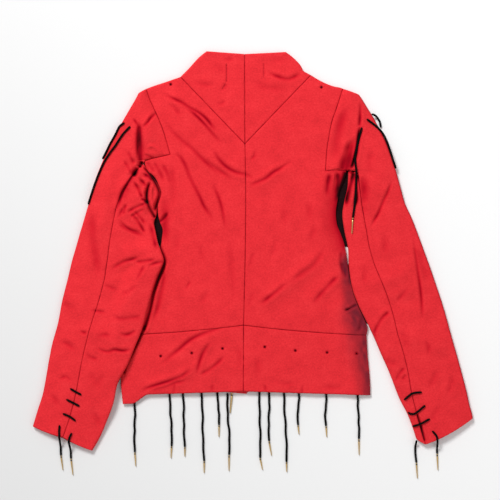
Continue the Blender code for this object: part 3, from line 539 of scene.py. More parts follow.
def cloth_wall(name, outer, inner, grain, depth, painted_side_shade=None):
    """A closed wall of cloth between an outer and an inner grid of points, in millimetres."""
    rows, columns = outer.shape[:2]
    second = rows * columns
    points = np.concatenate((outer.reshape(-1, 3), inner.reshape(-1, 3))) * MM
    corner = np.arange(second).reshape(rows, columns)
    square = np.stack((corner[:-1, :-1], corner[1:, :-1], corner[1:, 1:], corner[:-1, 1:]), -1)
    rim = np.concatenate((corner[0], corner[1:, -1], corner[-1, -2::-1], corner[-2:0:-1, 0]))
    after = np.roll(rim, -1)
    edge = np.stack((rim, after, after + second, rim + second), -1)
    faces = square.reshape(-1, 4).tolist() + edge.tolist() + hidden_side(rows, columns, second)
    used = np.zeros(len(points), bool)
    used[np.concatenate([np.array(face) for face in faces])] = True
    number = np.cumsum(used) - 1
    faces = [number[face].tolist() for face in faces]
    mesh = bpy.data.meshes.new(name)
    mesh.from_pydata(points[used].tolist(), [], faces)
    plan = np.tile(grain.reshape(-1, 2) * MM, (2, 1))[used]
    corners = np.zeros(len(mesh.loops), int)
    mesh.loops.foreach_get("vertex_index", corners)
    mesh.uv_layers.new(name="cloth").data.foreach_set("uv", plan[corners].ravel())
    # The painted shade of creases, laps, seams and eyelets goes in the fold attribute.
    shade = np.concatenate((depth.ravel(), np.zeros(second)))[used]
    mesh.attributes.new("fold", "FLOAT", "POINT").data.foreach_set("value", np.clip(shade, 0, 1))
    # The painted shade of the body's right side goes in an attribute of its own.
    if painted_side_shade is not None:
        away = np.concatenate((painted_side_shade.ravel(), np.zeros(second)))[used]
        mesh.attributes.new("painted_side_shade", "FLOAT", "POINT").data.foreach_set("value", np.clip(away, 0, 1))
    mesh.shade_smooth()
    mesh.set_sharp_from_angle(angle=math.radians(62))
    item = bpy.data.objects.new(name, mesh)
    bpy.context.scene.collection.objects.link(item)
    return item


def row_places(left, right, first="seam", last="seam", step=STEP):
    """Places down a panel's rows, closer together at its first and last edges."""
    places = []
    ends = {"seam": SEAM_STEPS, "soft": SOFT_STEPS}
    final = len(left) - 2
    for number in range(len(left) - 1):
        length = max(math.dist(left[number], left[number + 1]),
                     math.dist(right[number], right[number + 1]))
        near = [place / length for place in ends[first]] if number == 0 else [0.0]
        far = [1 - place / length for place in reversed(ends[last])] if number == final else [1.0]
        count = max(1, round(length * (far[0] - near[-1]) / step))
        places += [number + step for step in near[:-1]]
        places += list(number + near[-1] + (far[0] - near[-1]) * np.arange(count) / count)
        places += [number + step for step in far[:-1]]
    return np.array(places + [len(left) - 1.0])


def column_places(width, count, soft_left=False, soft_right=False):
    """Places across a row in millimetres, closer together at its side edges."""
    first = SOFT_STEPS if soft_left else [step + SEAM_GAP / 2 for step in SEAM_STEPS]
    last = SOFT_STEPS if soft_right else [step + SEAM_GAP / 2 for step in SEAM_STEPS]
    first = np.array(first) * min(1, width / 3 / first[-1])
    last = np.array(last) * min(1, width / 3 / last[-1])
    middle = np.linspace(first[-1], width - last[-1], count + 1)
    return np.concatenate((first[:-1], middle, width - last[-2::-1]))


def lay_rows(left, right, places, count, corners_left=(), corners_right=(), soft=(False, False), bow=None):
    """A grid of places between a panel's left and right edges."""
    starts = along(left, places, corners_left)
    ends = along(right, places, corners_right)
    grid = []
    for start, end, place in zip(starts, ends, places):
        width = np.linalg.norm(end - start)
        share = column_places(width, count, *soft) / width
        row = start + (end - start) * share[:, None]
        if bow:
            row[:, 1] += bow(place) * 4 * share * (1 - share)
        grid.append(row)
    grid = np.array(grid)
    return grid[:, :, 0], grid[:, :, 1]


def lay_panel(name, x, y, form, folds, seams, soft_edges, painted_side_shade=None):
    """A panel whose soft edges roll down. Each has its line, the roll's reach and how boxy it is."""
    top = form + folds[0] + seams[0]
    lift = np.ones(x.shape)
    for line, reach, power in soft_edges:
        lift = np.minimum(lift, rounded(np.abs(nearest(x, y, line)[0]) / reach, power))
    edge = BACK_UNDERSIDE + THINNEST
    top = edge + (np.maximum(top, edge) - edge) * lift
    outer = np.stack((x, y, top), -1)
    inner = np.stack((x, y, np.full(x.shape, BACK_UNDERSIDE)), -1)
    return cloth_wall(name, outer, inner, np.stack((x, y), -1), folds[1] + seams[1], painted_side_shade)


def cotton(name, base, pale, full, painted_deepest_shade):
    """Woven cotton: fine threads, slubs, a mottled dye, a dry, slightly fuzzy surface and painted shade."""
    material = bpy.data.materials.new(name)
    material.use_nodes = True
    nodes = material.node_tree.nodes
    link = material.node_tree.links.new
    shader = nodes["Principled BSDF"]
    shader.inputs["Specular IOR Level"].default_value = 0.05
    shader.inputs["Sheen Weight"].default_value = 0.03
    shader.inputs["Sheen Roughness"].default_value = 0.5
    shader.inputs["Sheen Tint"].default_value = (1.0, 0.5, 0.5, 1)
    cloth = nodes.new("ShaderNodeUVMap")
    cloth.uv_map = "cloth"

    def pattern(kind, size, stretch=(1, 1), **inputs):
        scale = nodes.new("ShaderNodeMapping")
        scale.inputs["Scale"].default_value = (stretch[0] / size, stretch[1] / size, 1 / size)
        link(cloth.outputs["UV"], scale.inputs["Vector"])
        node = nodes.new(kind)
        link(scale.outputs["Vector"], node.inputs["Vector"])
        for key, value in inputs.items():
            node.inputs[key].default_value = value
        return node

    def joined(kind, first, second):
        node = nodes.new("ShaderNodeMath")
        node.operation = kind
        for socket, value in zip(node.inputs, (first, second)):
            if isinstance(value, (int, float)):
                socket.default_value = value
            else:
                link(value, socket)
        return node.outputs["Value"]

    mottle = pattern("ShaderNodeTexNoise", 0.03, Scale=1.0, Detail=5.0, Roughness=0.62)
    grains = pattern("ShaderNodeTexNoise", 0.0032, Scale=1.0, Detail=3.0, Roughness=0.7)
    slub_across = pattern("ShaderNodeTexNoise", 0.0012, (0.2, 1.0), Scale=1.0, Detail=2.0)
    slub_down = pattern("ShaderNodeTexNoise", 0.0012, (1.0, 0.2), Scale=1.0, Detail=2.0)
    warp = pattern("ShaderNodeTexWave", 0.0011, Scale=0.32, Distortion=0.4)
    weft = pattern("ShaderNodeTexWave", 0.0011, Scale=0.32, Distortion=0.4)
    weft.bands_direction = "Y"
    slubs = joined("ADD", slub_across.outputs["Fac"], slub_down.outputs["Fac"])
    threads = joined("MULTIPLY", warp.outputs["Fac"], weft.outputs["Fac"])

    dye = nodes.new("ShaderNodeValToRGB")
    dye.color_ramp.elements[0].position = 0.34
    dye.color_ramp.elements[0].color = (*[value * 0.8 for value in base], 1)
    dye.color_ramp.elements[1].position = 0.68
    dye.color_ramp.elements[1].color = (*pale, 1)
    middle = dye.color_ramp.elements.new(0.5)
    middle.color = (*base, 1)
    spread = joined("ADD", joined("MULTIPLY", mottle.outputs["Fac"], 0.36),
                    joined("MULTIPLY", grains.outputs["Fac"], 0.64))
    link(spread, dye.inputs["Fac"])
    # Painted shade: the fold attribute darkens the colour, first towards a mid shade colour and then
    # towards a near-black one.
    fold = nodes.new("ShaderNodeAttribute")
    fold.attribute_name = "fold"
    colour = dye.outputs["Color"]
    for tone, start, reach in ((full, 0.0, 0.5), (painted_deepest_shade, 0.35, 0.65)):
        shade = nodes.new("ShaderNodeMixRGB")
        share = joined("DIVIDE", joined("SUBTRACT", fold.outputs["Fac"], start), reach)
        share.node.use_clamp = True
        link(share, shade.inputs["Fac"])
        link(colour, shade.inputs["Color1"])
        shade.inputs["Color2"].default_value = (*tone, 1)
        colour = shade.outputs["Color"]
    # Painted shade: a second attribute darkens and dulls the colour where the side turns away from the
    # light.
    painted_side_shade = nodes.new("ShaderNodeAttribute")
    painted_side_shade.attribute_name = "painted_side_shade"
    away = nodes.new("ShaderNodeMixRGB")
    link(painted_side_shade.outputs["Fac"], away.inputs["Fac"])
    link(colour, away.inputs["Color1"])
    away.inputs["Color2"].default_value = (base[0] * 0.15, base[1] * 0.5, base[2] * 0.7, 1)
    link(away.outputs["Color"], shader.inputs["Base Color"])
    link(joined("ADD", joined("MULTIPLY", slubs, 0.08), 0.8), shader.inputs["Roughness"])

    lumps = nodes.new("ShaderNodeBump")
    lumps.inputs["Strength"].default_value = 0.5
    lumps.inputs["Distance"].default_value = 0.0004
    link(joined("ADD", slubs, grains.outputs["Fac"]), lumps.inputs["Height"])
    weave = nodes.new("ShaderNodeBump")
    weave.inputs["Strength"].default_value = 0.35
    weave.inputs["Distance"].default_value = 0.0002
    link(threads, weave.inputs["Height"])
    link(lumps.outputs["Normal"], weave.inputs["Normal"])
    link(weave.outputs["Normal"], shader.inputs["Normal"])
    return material


red_cotton = cotton(
    "red_cotton", base=(0.73, 0.025, 0.034), pale=(0.83, 0.04, 0.048), full=(0.47, 0.001, 0.013),
    painted_deepest_shade=(0.014, 0.001, 0.002))


def centre_sway(y):
    """How far the centre-back seam sways to the right of a straight line."""
    share = np.clip((V_POINT[1] - y) / (V_POINT[1] - CENTRE_WAIST[1]), 0, 1)
    return CENTRE_SWAY * np.sin(np.pi * share ** 0.8)


centre_share = np.linspace(0, 1, 30)[:, None]
centre_seam = V_POINT + np.subtract(CENTRE_WAIST, V_POINT) * centre_share
centre_seam[:, 0] += centre_sway(centre_seam[:, 1])
v_seams = {"left": np.array([V_TOP_LEFT, V_POINT]), "right": np.array([V_TOP_RIGHT, V_POINT])}
armscye_seams = {
    "left": smooth_line(ARMSCYE_LEFT, corners=(5,)),
    "right": smooth_line(ARMSCYE_RIGHT, corners=(6,))}
waist_ends = {"left": SIDE_LEFT[-1], "right": SIDE_RIGHT[-1]}
waist_seams = {}
for side, end in waist_ends.items():
    share = np.linspace(0, 1, 15)
    waist_x = CENTRE_WAIST[0] + (end[0] - CENTRE_WAIST[0]) * share
    waist_y = CENTRE_WAIST[1] + (end[1] - CENTRE_WAIST[1]) * share + WAIST_BOW * 4 * share * (1 - share)
    waist_seams[side] = np.stack((waist_x, waist_y), -1)
body_sides = {"left": smooth_line(SIDE_LEFT), "right": smooth_line(SIDE_RIGHT)}


def back_outline(v_top, armscye, underarm, side_edge):
    """A back panel's outer edge, and its V and centre seams with a place for each of its rows."""
    yoke = len(armscye) - 3
    outside = list(armscye) + list(side_edge)
    middle = [tuple(np.add(v_top, np.subtract(V_POINT, v_top) * part / yoke)) for part in range(yoke + 1)]
    side_length = V_POINT[1] - side_edge[-1][1]
    for y in underarm + tuple(place[1] for place in side_edge[:-1]):
        share = (V_POINT[1] - y) / side_length
        x, y = np.add(V_POINT, np.subtract(CENTRE_WAIST, V_POINT) * share)
        middle.append((x + centre_sway(y), y))
    return outside, middle + [CENTRE_WAIST], yoke


for side, v_top, armscye, underarm, side_edge, bow in (
        ("left", V_TOP_LEFT, ARMSCYE_LEFT, UNDERARM_CENTRE_LEFT, SIDE_LEFT, 0.0),
        ("right", V_TOP_RIGHT, ARMSCYE_RIGHT, UNDERARM_CENTRE_RIGHT, SIDE_RIGHT, -4.0)):
    outside, middle, yoke = back_outline(v_top, armscye, underarm, side_edge)
    corner = len(armscye) - 2
    last_row = len(outside) - 1
    left, right = (outside, middle) if side == "left" else (middle, outside)
    corners = (corner, corner + 1), (yoke,)
    places = row_places(left, right, first="soft")
    x, y = lay_rows(
        left, right, places, BACK_COLUMNS, *(corners if side == "left" else corners[::-1]),
        bow=lambda place: bow * max(1 - place, 0) + WAIST_BOW * max(place - last_row + 1, 0),
        soft=(side == "left", side == "right"))
    form = body_form(x, y) + handled(x, y, seed=1) + eyelets_at(x, y)[0]
    folds = folds_at(x, y, BACK_CREASES)
    painted_side_shade = None
    # On the right, shade is painted where the side turns down towards the board.
    if side == "right":
        aside = np.abs(nearest(x, y, body_sides["right"])[0])
        form += side_puff(aside)
        red, painted_side_shade = side_shade(aside, y)
        folds = folds[0], folds[1] + red
    seam_lines = (centre_seam, v_seams[side], armscye_seams[side], waist_seams[side])
    seams = seams_at(x, y, seam_lines, seed=1)
    shoulder = np.stack((x[0], y[0]), -1)
    item = lay_panel("cloth_back_" + side, x, y, form, (folds[0], folds[1] + eyelets_at(x, y)[1]), seams,
                     ((shoulder, *SHOULDER_ROLL), (body_sides[side], *SIDE_ROLL[side])), painted_side_shade)
    item.data.materials.append(red_cotton)
    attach(item, "root")
    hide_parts("back_" + side)


# Collar and V yoke, cut in one on each side of the centre back and sewn to the back along the V.
# The collar is soft and rolls over its top edge. A short row of stitches shows on each side.
CENTRE_TOP = (-16.0, 382.5)
COLLAR_LEFT = ((-90.0, 388.0), (-105.0, 376.0), (-120.0, 359.5), (-127.0, 352.0), (-141.0, 338.0))
COLLAR_RIGHT = ((64.0, 386.5), (78.0, 376.0), (92.0, 361.5), (98.0, 349.5), (113.0, 341.5))
COLLAR_CENTRE = (382.5, 373.0, 361.0, 351.0, 339.0)
YOKE_SHARES = (0.08, 0.3, 0.55, 0.78, 0.95, 0.995)
COLLAR_COLUMNS = 78
COLLAR_TOP_ROLL = (4.5, 2.4)
COLLAR_SIDE_ROLL = (5.5, 2.4)
COLLAR_CREASES = (
    Crease(6.0, -0.9, 0.4, 0.4, ((-123, 329), (-97, 323), (-70, 321))),
    Crease(4.5, -0.8, 0.4, 0.4, ((-74, 286), (-62, 286), (-50, 292))),
    Crease(4.0, -0.9, 0.2, 0.4, ((-51, 325), (-56, 317), (-64, 308))),
    Crease(5.0, -0.7, 0.4, 0.4, ((-60, 370), (-47, 372), (-33, 372))),
    Crease(4.5, -1.9, 0.4, 0.2, ((24, 351), (37, 343), (51, 337), (67, 333), (80, 337), (94, 345))),
    Crease(7.0, -1.1, 0.4, 0.4, ((-6, 333), (8, 325), (24, 317), (47, 314), (72, 314))),
    Crease(6.0, -0.7, 0.4, 0.4, ((-80, 364), (-62, 353), (-56, 341))),
    Crease(6.0, -0.7, 0.4, 0.4, ((33, 368), (51, 370), (67, 368))),
    Crease(2.2, -0.9, 0.1, 0.1, ((-51, 364), (-51, 345), (-51, 326))),
    Crease(2.2, -0.7, 0.1, 0.1, ((21, 364), (21, 350), (21, 336))))

for side, edge in (("left", COLLAR_LEFT), ("right", COLLAR_RIGHT)):
    outside = list(edge)
    middle = [(CENTRE_TOP[0], y) for y in COLLAR_CENTRE]
    for share in YOKE_SHARES:
        outside.append(tuple(np.add(edge[-1], np.subtract(V_POINT, edge[-1]) * share)))
        middle.append((V_POINT[0], COLLAR_CENTRE[-1] + (V_POINT[1] - COLLAR_CENTRE[-1]) * share))
    left, right = (outside, middle) if side == "left" else (middle, outside)
    places = row_places(left, right, first="soft")
    corners = (3, 4), ()
    x, y = lay_rows(
        left, right, places, COLLAR_COLUMNS, *(corners if side == "left" else corners[::-1]))
    form = body_form(x, y) + handled(x, y, seed=4)
    centre_line = np.array([CENTRE_TOP, V_POINT])
    collar_top = np.stack((x[0], y[0]), -1)
    collar_side = along(edge, np.linspace(0, len(edge) - 1, 24), (3,))
    item = lay_panel(
        "cloth_collar_" + side, x, y, form, folds_at(x, y, COLLAR_CREASES),
        seams_at(x, y, (centre_line, v_seams[side]), seed=2),
        ((collar_top, *COLLAR_TOP_ROLL), (collar_side, *COLLAR_SIDE_ROLL)))
    item.data.materials.append(red_cotton)
    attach(item, "root")
    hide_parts("collar_" + side)


# The short skirt, one piece of the same padded cotton on each side of the centre back, sewn to the
# back panels along the waist seam. Its turned hem hangs lower at the left corner.
CENTRE_HEM = (-18.5, -273.5)
SKIRT_LEFT = ((-254.0, -164.0), (-255.0, -199.0), (-257.0, -236.0), (-255.0, -262.0), (-253.0, -281.0))
SKIRT_RIGHT = ((221.0, -164.0), (223.0, -199.0), (226.0, -236.0), (228.0, -262.0), (228.5, -281.0))
WAIST_SIDE_Y = -166.0
HEM_SHAPE_RUN = 100.0
SKIRT_COLUMNS = 140
HEM_ROLL = (3.6, 2.6)
HEM_DIP = 17.0
HEM_DIP_START = -202.0
HEM_DIP_RUN = 34.0
SKIRT_CREASES = (
    Crease(4.2, -2.2, 0.2, 0.2, ((-222, -275), (-204, -266), (-187, -260), (-167, -254), (-150, -248),
                                 (-136, -242), (-126, -234), (-115, -227))),
    Crease(4.0, -1.3, 0.3, 0.3, ((-206, -275), (-189, -269), (-169, -264), (-150, -256), (-134, -252),
                                 (-123, -242))),
    Crease(4.0, -2.0, 0.2, 0.3, ((-109, -242), (-105, -221), (-99, -203), (-89, -186), (-78, -174))),
    Crease(4.0, -1.5, 0.2, 0.3, ((-105, -242), (-87, -232), (-72, -221), (-60, -209), (-52, -199))),
    Crease(4.5, -2.0, 0.3, 0.15, ((-185, -225), (-171, -215), (-158, -203), (-142, -190), (-126, -176),
                                  (-109, -166), (-89, -158), (-72, -152), (-54, -147))),
    Crease(3.5, -1.0, 0.4, 0.1, ((-78, -256), (-80, -275))),
    Crease(3.5, -1.0, 0.4, 0.1, ((-152, -256), (-154, -277))),
    Crease(3.5, -1.0, 0.4, 0.1, ((22, -256), (26, -275))),
    Crease(3.5, -1.0, 0.4, 0.1, ((96, -258), (96, -279))),
    Crease(6.0, -1.0, 0.4, 0.4, ((131, -260), (154, -266), (182, -262))),
    Crease(6.0, -0.8, 0.4, 0.4, ((33, -248), (61, -258), (88, -256))),
    Crease(6.0, -0.8, 0.4, 0.4, ((-33, -182), (-25, -205), (-27, -232))),
    Crease(6.0, -0.8, 0.4, 0.4, ((4, -197), (10, -225), (6, -252))))


def hem_shape(x, y):
    """How far the hem hangs lower at its left corner."""
    down = eased((WAIST_SIDE_Y - y) / HEM_SHAPE_RUN)
    return y - HEM_DIP * eased((HEM_DIP_START - x) / HEM_DIP_RUN) * down


def skirt_outline(edge, middle_x):
    """A skirt piece's outer edge, and its centre edge with a place for each of its rows."""
    outside = []
    middle = []
    for number, (x, y) in enumerate(edge):
        share = number / (len(edge) - 1)
        down = SEAM_GAP * (1 - share)
        outside.append((x, y - down))
        middle.append((middle_x, CENTRE_WAIST[1] + (CENTRE_HEM[1] - CENTRE_WAIST[1]) * share - down))
    return outside, middle


for side, edge in (("left", SKIRT_LEFT), ("right", SKIRT_RIGHT)):
    outside, middle = skirt_outline(edge, CENTRE_WAIST[0])
    left, right = (outside, middle) if side == "left" else (middle, outside)
    places = row_places(left, right, last="soft")
    rows = len(edge) - 1
    x, y = lay_rows(
        left, right, places, SKIRT_COLUMNS, bow=lambda place: WAIST_BOW * (1 - place / rows),
        soft=(side == "left", side == "right"))
    y = hem_shape(x, y)
    side_line = np.stack((x[:, 0], y[:, 0]), -1) if side == "left" else np.stack((x[:, -1], y[:, -1]), -1)
    hem_line = np.stack((x[-1], y[-1]), -1)
    form = body_form(x, y) + handled(x, y, seed=6) + eyelets_at(x, y)[0]
    folds = folds_at(x, y, (*SKIRT_CREASES, SLEEVE_SHADOW_CREASE))
    painted_side_shade = None
    # On the right, shade is painted where the side turns down towards the board.
    if side == "right":
        aside = np.abs(nearest(x, y, side_line)[0])
        form += side_puff(aside)
        painted_side_shade = side_shade(aside, y)[1]
    centre_line = np.array([CENTRE_WAIST, CENTRE_HEM])
    item = lay_panel(
        "cloth_skirt_" + side, x, y, form, (folds[0], folds[1] + eyelets_at(x, y)[1]),
        seams_at(x, y, (centre_line, waist_seams[side]), seed=3),
        ((side_line, *SIDE_ROLL[side]), (hem_line, *HEM_ROLL)), painted_side_shade)
    item.data.materials.append(red_cotton)
    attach(item, "root")
    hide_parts("skirt_back_" + side)


# The front: one plain panel on each side of a closing down the middle, with its part of the collar
# cut in one with it, and a short skirt piece below the waist. It lies flat on the board under the
# back, so only its hem peeks out near the centre.
CLOSING_X = -12.0
FRONT_TOP = 4.0
FRONT_MIDDLE = 2.0
FRONT_ROLL = 2.5
FRONT_DENT = 1.8
FRONT_INSIDE = 0.25
FRONT_UNEVEN = 0.35
FRONT_FLAT = 0.15
FRONT_SHADE = 0.25
FRONT_STEP = 5.0
FRONT_COLUMNS = 44
FRONT_SKIRT_COLUMNS = 90
FRONT_ROW_DROP = 3.0
ARMPIT_DROP = 15.0
FRONT_HEM_SHORT = 12.0
PEEK_FROM = -62.0
PEEK_TO = -3.0
PEEK_RUN = 10.0
PEEK_DROP = 18.0
PEEK_LEAST = 0.64
FRONT_SHOULDER_RIGHT = ((132.0, 329.5), (152.0, 321.5))
FRONT_CREASES = (
    Crease(7.0, 1.6, 0.3, 0.3, ((-150, 250), (-112, 214), (-64, 191), (-25, 150))),
    Crease(6.2, 1.2, 0.3, 0.4, ((-176, 104), (-131, 62), (-72, 45))),
    Crease(8.0, 1.5, 0.2, 0.4, ((-168, 10), (-120, -32), (-84, -92))),
    Crease(6.0, 1.1, 0.4, 0.3, ((-60, 334), (-84, 283))),
    Crease(7.5, 1.5, 0.3, 0.3, ((121, 243), (92, 192), (43, 163), (5, 151))),
    Crease(6.4, 1.3, 0.3, 0.4, ((146, 32), (110, -18), (62, -51), (19, -104))),
    Crease(6.0, 1.0, 0.4, 0.3, ((104, 100), (62, 84), (22, 90))),
    Crease(7.0, 1.4, 0.3, 0.2, ((-211, -92), (-152, -63), (-92, -72))),
    Crease(6.5, 1.2, 0.3, 0.1, ((-121, -182), (-103, -229), (-92, -262))),
    Crease(7.0, 1.3, 0.3, 0.1, ((62, -172), (88, -212), (99, -258))),
    Crease(6.2, 1.1, 0.3, 0.3, ((182, -186), (150, -224), (141, -250))))


def front_hem_shape(x, y):
    """The front hem is a little shorter, but peeks out near the centre."""
    down = eased((WAIST_SIDE_Y - y) / HEM_SHAPE_RUN)
    share = np.clip((x - PEEK_FROM) / (PEEK_TO - PEEK_FROM), 0, 1)
    peek = eased((x - PEEK_FROM) / PEEK_RUN) * eased((PEEK_TO - x) / PEEK_RUN)
    peek = peek * (PEEK_LEAST + (1 - PEEK_LEAST) * share)
    return hem_shape(x, y) + (FRONT_HEM_SHORT - PEEK_DROP * peek) * down


def lay_front(name, x, y, soft_lines, seed):
    """A flat panel that lies on the board, with shallow creases in its underside and shade painted in them.
    """
    lift = np.ones(x.shape)
    for line in soft_lines:
        lift = np.minimum(lift, rounded(np.abs(nearest(x, y, line)[0]) / FRONT_ROLL))
    dents = folds_at(x, y, FRONT_CREASES)[0] + FRONT_UNEVEN * handled(x, y, seed) - FRONT_FLAT
    dents = np.clip(dents, 0, FRONT_DENT)
    under = FRONT_MIDDLE - FRONT_INSIDE - (FRONT_MIDDLE - FRONT_INSIDE - dents) * lift
    above = FRONT_MIDDLE + FRONT_INSIDE + (FRONT_TOP - FRONT_MIDDLE - FRONT_INSIDE) * lift
    outer = np.stack((x, y, under), -1)[:, ::-1]
    inner = np.stack((x, y, above), -1)[:, ::-1]
    grain = np.stack((x, y), -1)[:, ::-1]
    return cloth_wall(name, outer, inner, grain, (FRONT_SHADE * dents)[:, ::-1])


for side, collar, armscye, side_edge, skirt in (
        ("left", COLLAR_LEFT, ARMSCYE_LEFT, SIDE_LEFT, SKIRT_LEFT),
        ("right", COLLAR_RIGHT + FRONT_SHOULDER_RIGHT, ARMSCYE_RIGHT, SIDE_RIGHT, SKIRT_RIGHT)):
    outside = [*collar, *armscye, *side_edge]
    top, bottom = outside[0][1], outside[-1][1]
    armpit = len(collar) + len(armscye) - 2
    middle = []
    for number, (x, y) in enumerate(outside):
        down = CENTRE_TOP[1] + (CENTRE_WAIST[1] - CENTRE_TOP[1]) * (top - y) / (top - bottom)
        if number > armpit:
            down = min(down, middle[-1][1] - (ARMPIT_DROP if number == armpit + 1 else FRONT_ROW_DROP))
        middle.append((CLOSING_X, down))
    corners = (3, 4, armpit, armpit + 1), ()
    rows = len(outside) - 1
    is_left = side == "left"
    left, right = (outside, middle) if is_left else (middle, outside)
    x, y = lay_rows(
        left, right, row_places(left, right, "soft", "seam", FRONT_STEP), FRONT_COLUMNS,
        *(corners if is_left else corners[::-1]),
        bow=lambda place: WAIST_BOW * max(place - rows + 1, 0), soft=(is_left, not is_left))
    outer_line = np.stack((x, y), -1)[:, 0 if is_left else -1]
    shoulder = np.stack((x[0], y[0]), -1)
    front = lay_front("cloth_front_" + side, x, y, (outer_line, shoulder), seed=31)

    outside, middle = skirt_outline(skirt, CLOSING_X)
    left, right = (outside, middle) if is_left else (middle, outside)
    rows = len(skirt) - 1
    x, y = lay_rows(
        left, right, row_places(left, right, "seam", "soft", FRONT_STEP), FRONT_SKIRT_COLUMNS,
        bow=lambda place: WAIST_BOW * (1 - place / rows), soft=(is_left, not is_left))
    y = front_hem_shape(x, y)
    outer_line = np.stack((x, y), -1)[:, 0 if is_left else -1]
    hem_line = np.stack((x[-1], y[-1]), -1)
    short = lay_front("cloth_skirt_front_" + side, x, y, (outer_line, hem_line), seed=36)
    for item, node, size, area in (
            (front, "front_" + side, (0.26, 0.55), 0.105),
            (short, "skirt_front_" + side, (0.27, 0.15), 0.029)):
        item.data.materials.append(red_cotton)
        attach(item, "root")
        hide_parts(node)


# The sleeves: each is two pieces of the same padded cotton, an outer one that runs up into the
# sleeve head and an inner one, sewn down the back of the arm and again underneath.
Sleeve = namedtuple("Sleeve", "outer seam inner")
WALL = 4.0
SLEEVE_HOLLOW = 2.4
SLEEVE_HEIGHT = 2 * WALL + SLEEVE_HOLLOW
SLEEVE_LIFT = 0.6
SLEEVE_CROWN = 5.0
LEAST_INSIDE = 1.1
LEAST_HOLLOW = 0.4
ROLL = 6.0
ROLL_POWER = 2.6
ROLL_TURNS = (0.84, 0.64, 0.45, 0.28, 0.14, 0.05)
HEAD_ROLL = 6.0
END_DROP = 1.6
END_REACH = 2.0
TOP_COLUMNS = 66
LOW_COLUMNS = 26
OVER_BODY = 12.4
OVER_RUN = 42.0
OVER_START = 48.0
OVER_TOP_Y = 70.0
OVER_FADE = 60.0
UNDER_SEAM_ROWS = 3
UNDER_SHIFT = (17.0, -23.0)
UNDER_SHARE = 0.35
UNDER_DEEPEST = 1.6
EDGE_PAINTED_SHADE_REACH = 2.2
CUFF_BOW = 5.0
HEAD_EDGE_LEFT = (
    (-222.0, 307.0), (-230.0, 292.0), (-240.0, 275.0), (-255.0, 249.0),
    (-271.0, 219.0), (-285.0, 191.0), (-292.0, 175.0))
HEAD_EDGE_RIGHT = (
    (206.0, 304.0), (213.0, 294.0), (221.0, 281.0), (234.0, 260.0),
    (245.0, 239.0), (258.0, 213.0), (270.0, 183.0), (278.0, 157.0))
SLEEVE_LEFT = (
    Sleeve((-299.0, 158.0), (-214.0, 169.0), (-210.8, 166.5)),
    Sleeve((-305.0, 143.0), (-231.0, 150.0), (-197.5, 147.3)),
    Sleeve((-309.5, 128.0), (-243.0, 132.5), (-185.0, 129.0)),
    Sleeve((-314.0, 112.0), (-254.0, 115.0), (-179.3, 112.7)),
    Sleeve((-318.0, 97.0), (-259.5, 99.0), (-182.2, 99.5)),
    Sleeve((-322.0, 83.0), (-265.0, 83.0), (-186.4, 85.5)),
    Sleeve((-326.0, 69.0), (-267.5, 71.5), (-187.5, 70.0)),
    Sleeve((-330.0, 55.0), (-270.0, 60.0), (-192.0, 55.0)),
    Sleeve((-335.5, 37.0), (-273.5, 41.0), (-188.5, 37.0)),
    Sleeve((-341.0, 18.0), (-277.0, 21.0), (-183.5, 15.0)),
    Sleeve((-346.5, -1.0), (-279.5, 2.0), (-177.5, -1.0)),
    Sleeve((-352.0, -20.0), (-282.0, -18.0), (-172.5, -19.0)),
    Sleeve((-356.5, -39.0), (-285.0, -37.0), (-179.0, -36.0)),
    Sleeve((-361.0, -58.0), (-288.0, -56.0), (-188.0, -57.0)),
    Sleeve((-371.0, -98.0), (-299.0, -98.0), (-202.0, -104.0)),
    Sleeve((-379.0, -140.0), (-313.0, -141.0), (-214.0, -150.0)),
    Sleeve((-390.0, -180.0), (-323.0, -178.0), (-229.0, -188.0)),
    Sleeve((-397.0, -215.0), (-331.0, -212.0), (-242.0, -220.0)),
    Sleeve((-403.0, -250.0), (-338.0, -250.0), (-261.5, -257.0)),
    Sleeve((-409.0, -280.0), (-345.0, -285.0), (-270.0, -295.0)),
    Sleeve((-418.0, -308.0), (-353.0, -316.0), (-284.0, -332.0)),
    Sleeve((-424.0, -328.0), (-361.0, -341.0), (-297.0, -362.0)),
    Sleeve((-428.0, -341.0), (-368.0, -361.0), (-312.0, -388.0)))
SLEEVE_RIGHT = (
    Sleeve((280.5, 148.0), (203.0, 151.6), (185.5, 155.0)),
    Sleeve((288.0, 120.0), (207.0, 122.0), (184.0, 124.0)),
    Sleeve((296.0, 92.0), (211.0, 92.0), (178.0, 97.0)),
    Sleeve((309.0, 64.0), (216.0, 62.0), (174.0, 70.0)),
    Sleeve((322.0, 30.0), (221.0, 34.0), (178.0, 38.0)),
    Sleeve((333.0, 0.0), (226.0, 6.0), (185.0, 5.0)),
    Sleeve((344.0, -30.0), (235.0, -25.0), (186.5, -30.0)),
    Sleeve((356.0, -65.0), (246.0, -52.0), (193.0, -72.0)),
    Sleeve((367.0, -98.0), (262.0, -92.0), (205.2, -106.0)),
    Sleeve((376.0, -128.0), (273.0, -128.0), (219.0, -134.0)),
    Sleeve((386.0, -165.0), (281.0, -162.0), (234.0, -165.0)),
    Sleeve((396.0, -200.0), (292.0, -198.0), (249.0, -200.0)),
    Sleeve((407.0, -240.0), (301.0, -236.0), (265.0, -236.0)),
    Sleeve((416.0, -275.0), (307.0, -272.0), (284.0, -285.0)),
    Sleeve((421.0, -298.0), (316.0, -308.0), (299.0, -314.0)),
    Sleeve((425.0, -312.0), (324.0, -338.0), (309.0, -339.0)),
    Sleeve((428.0, -325.0), (335.0, -376.0), (318.0, -366.0)))

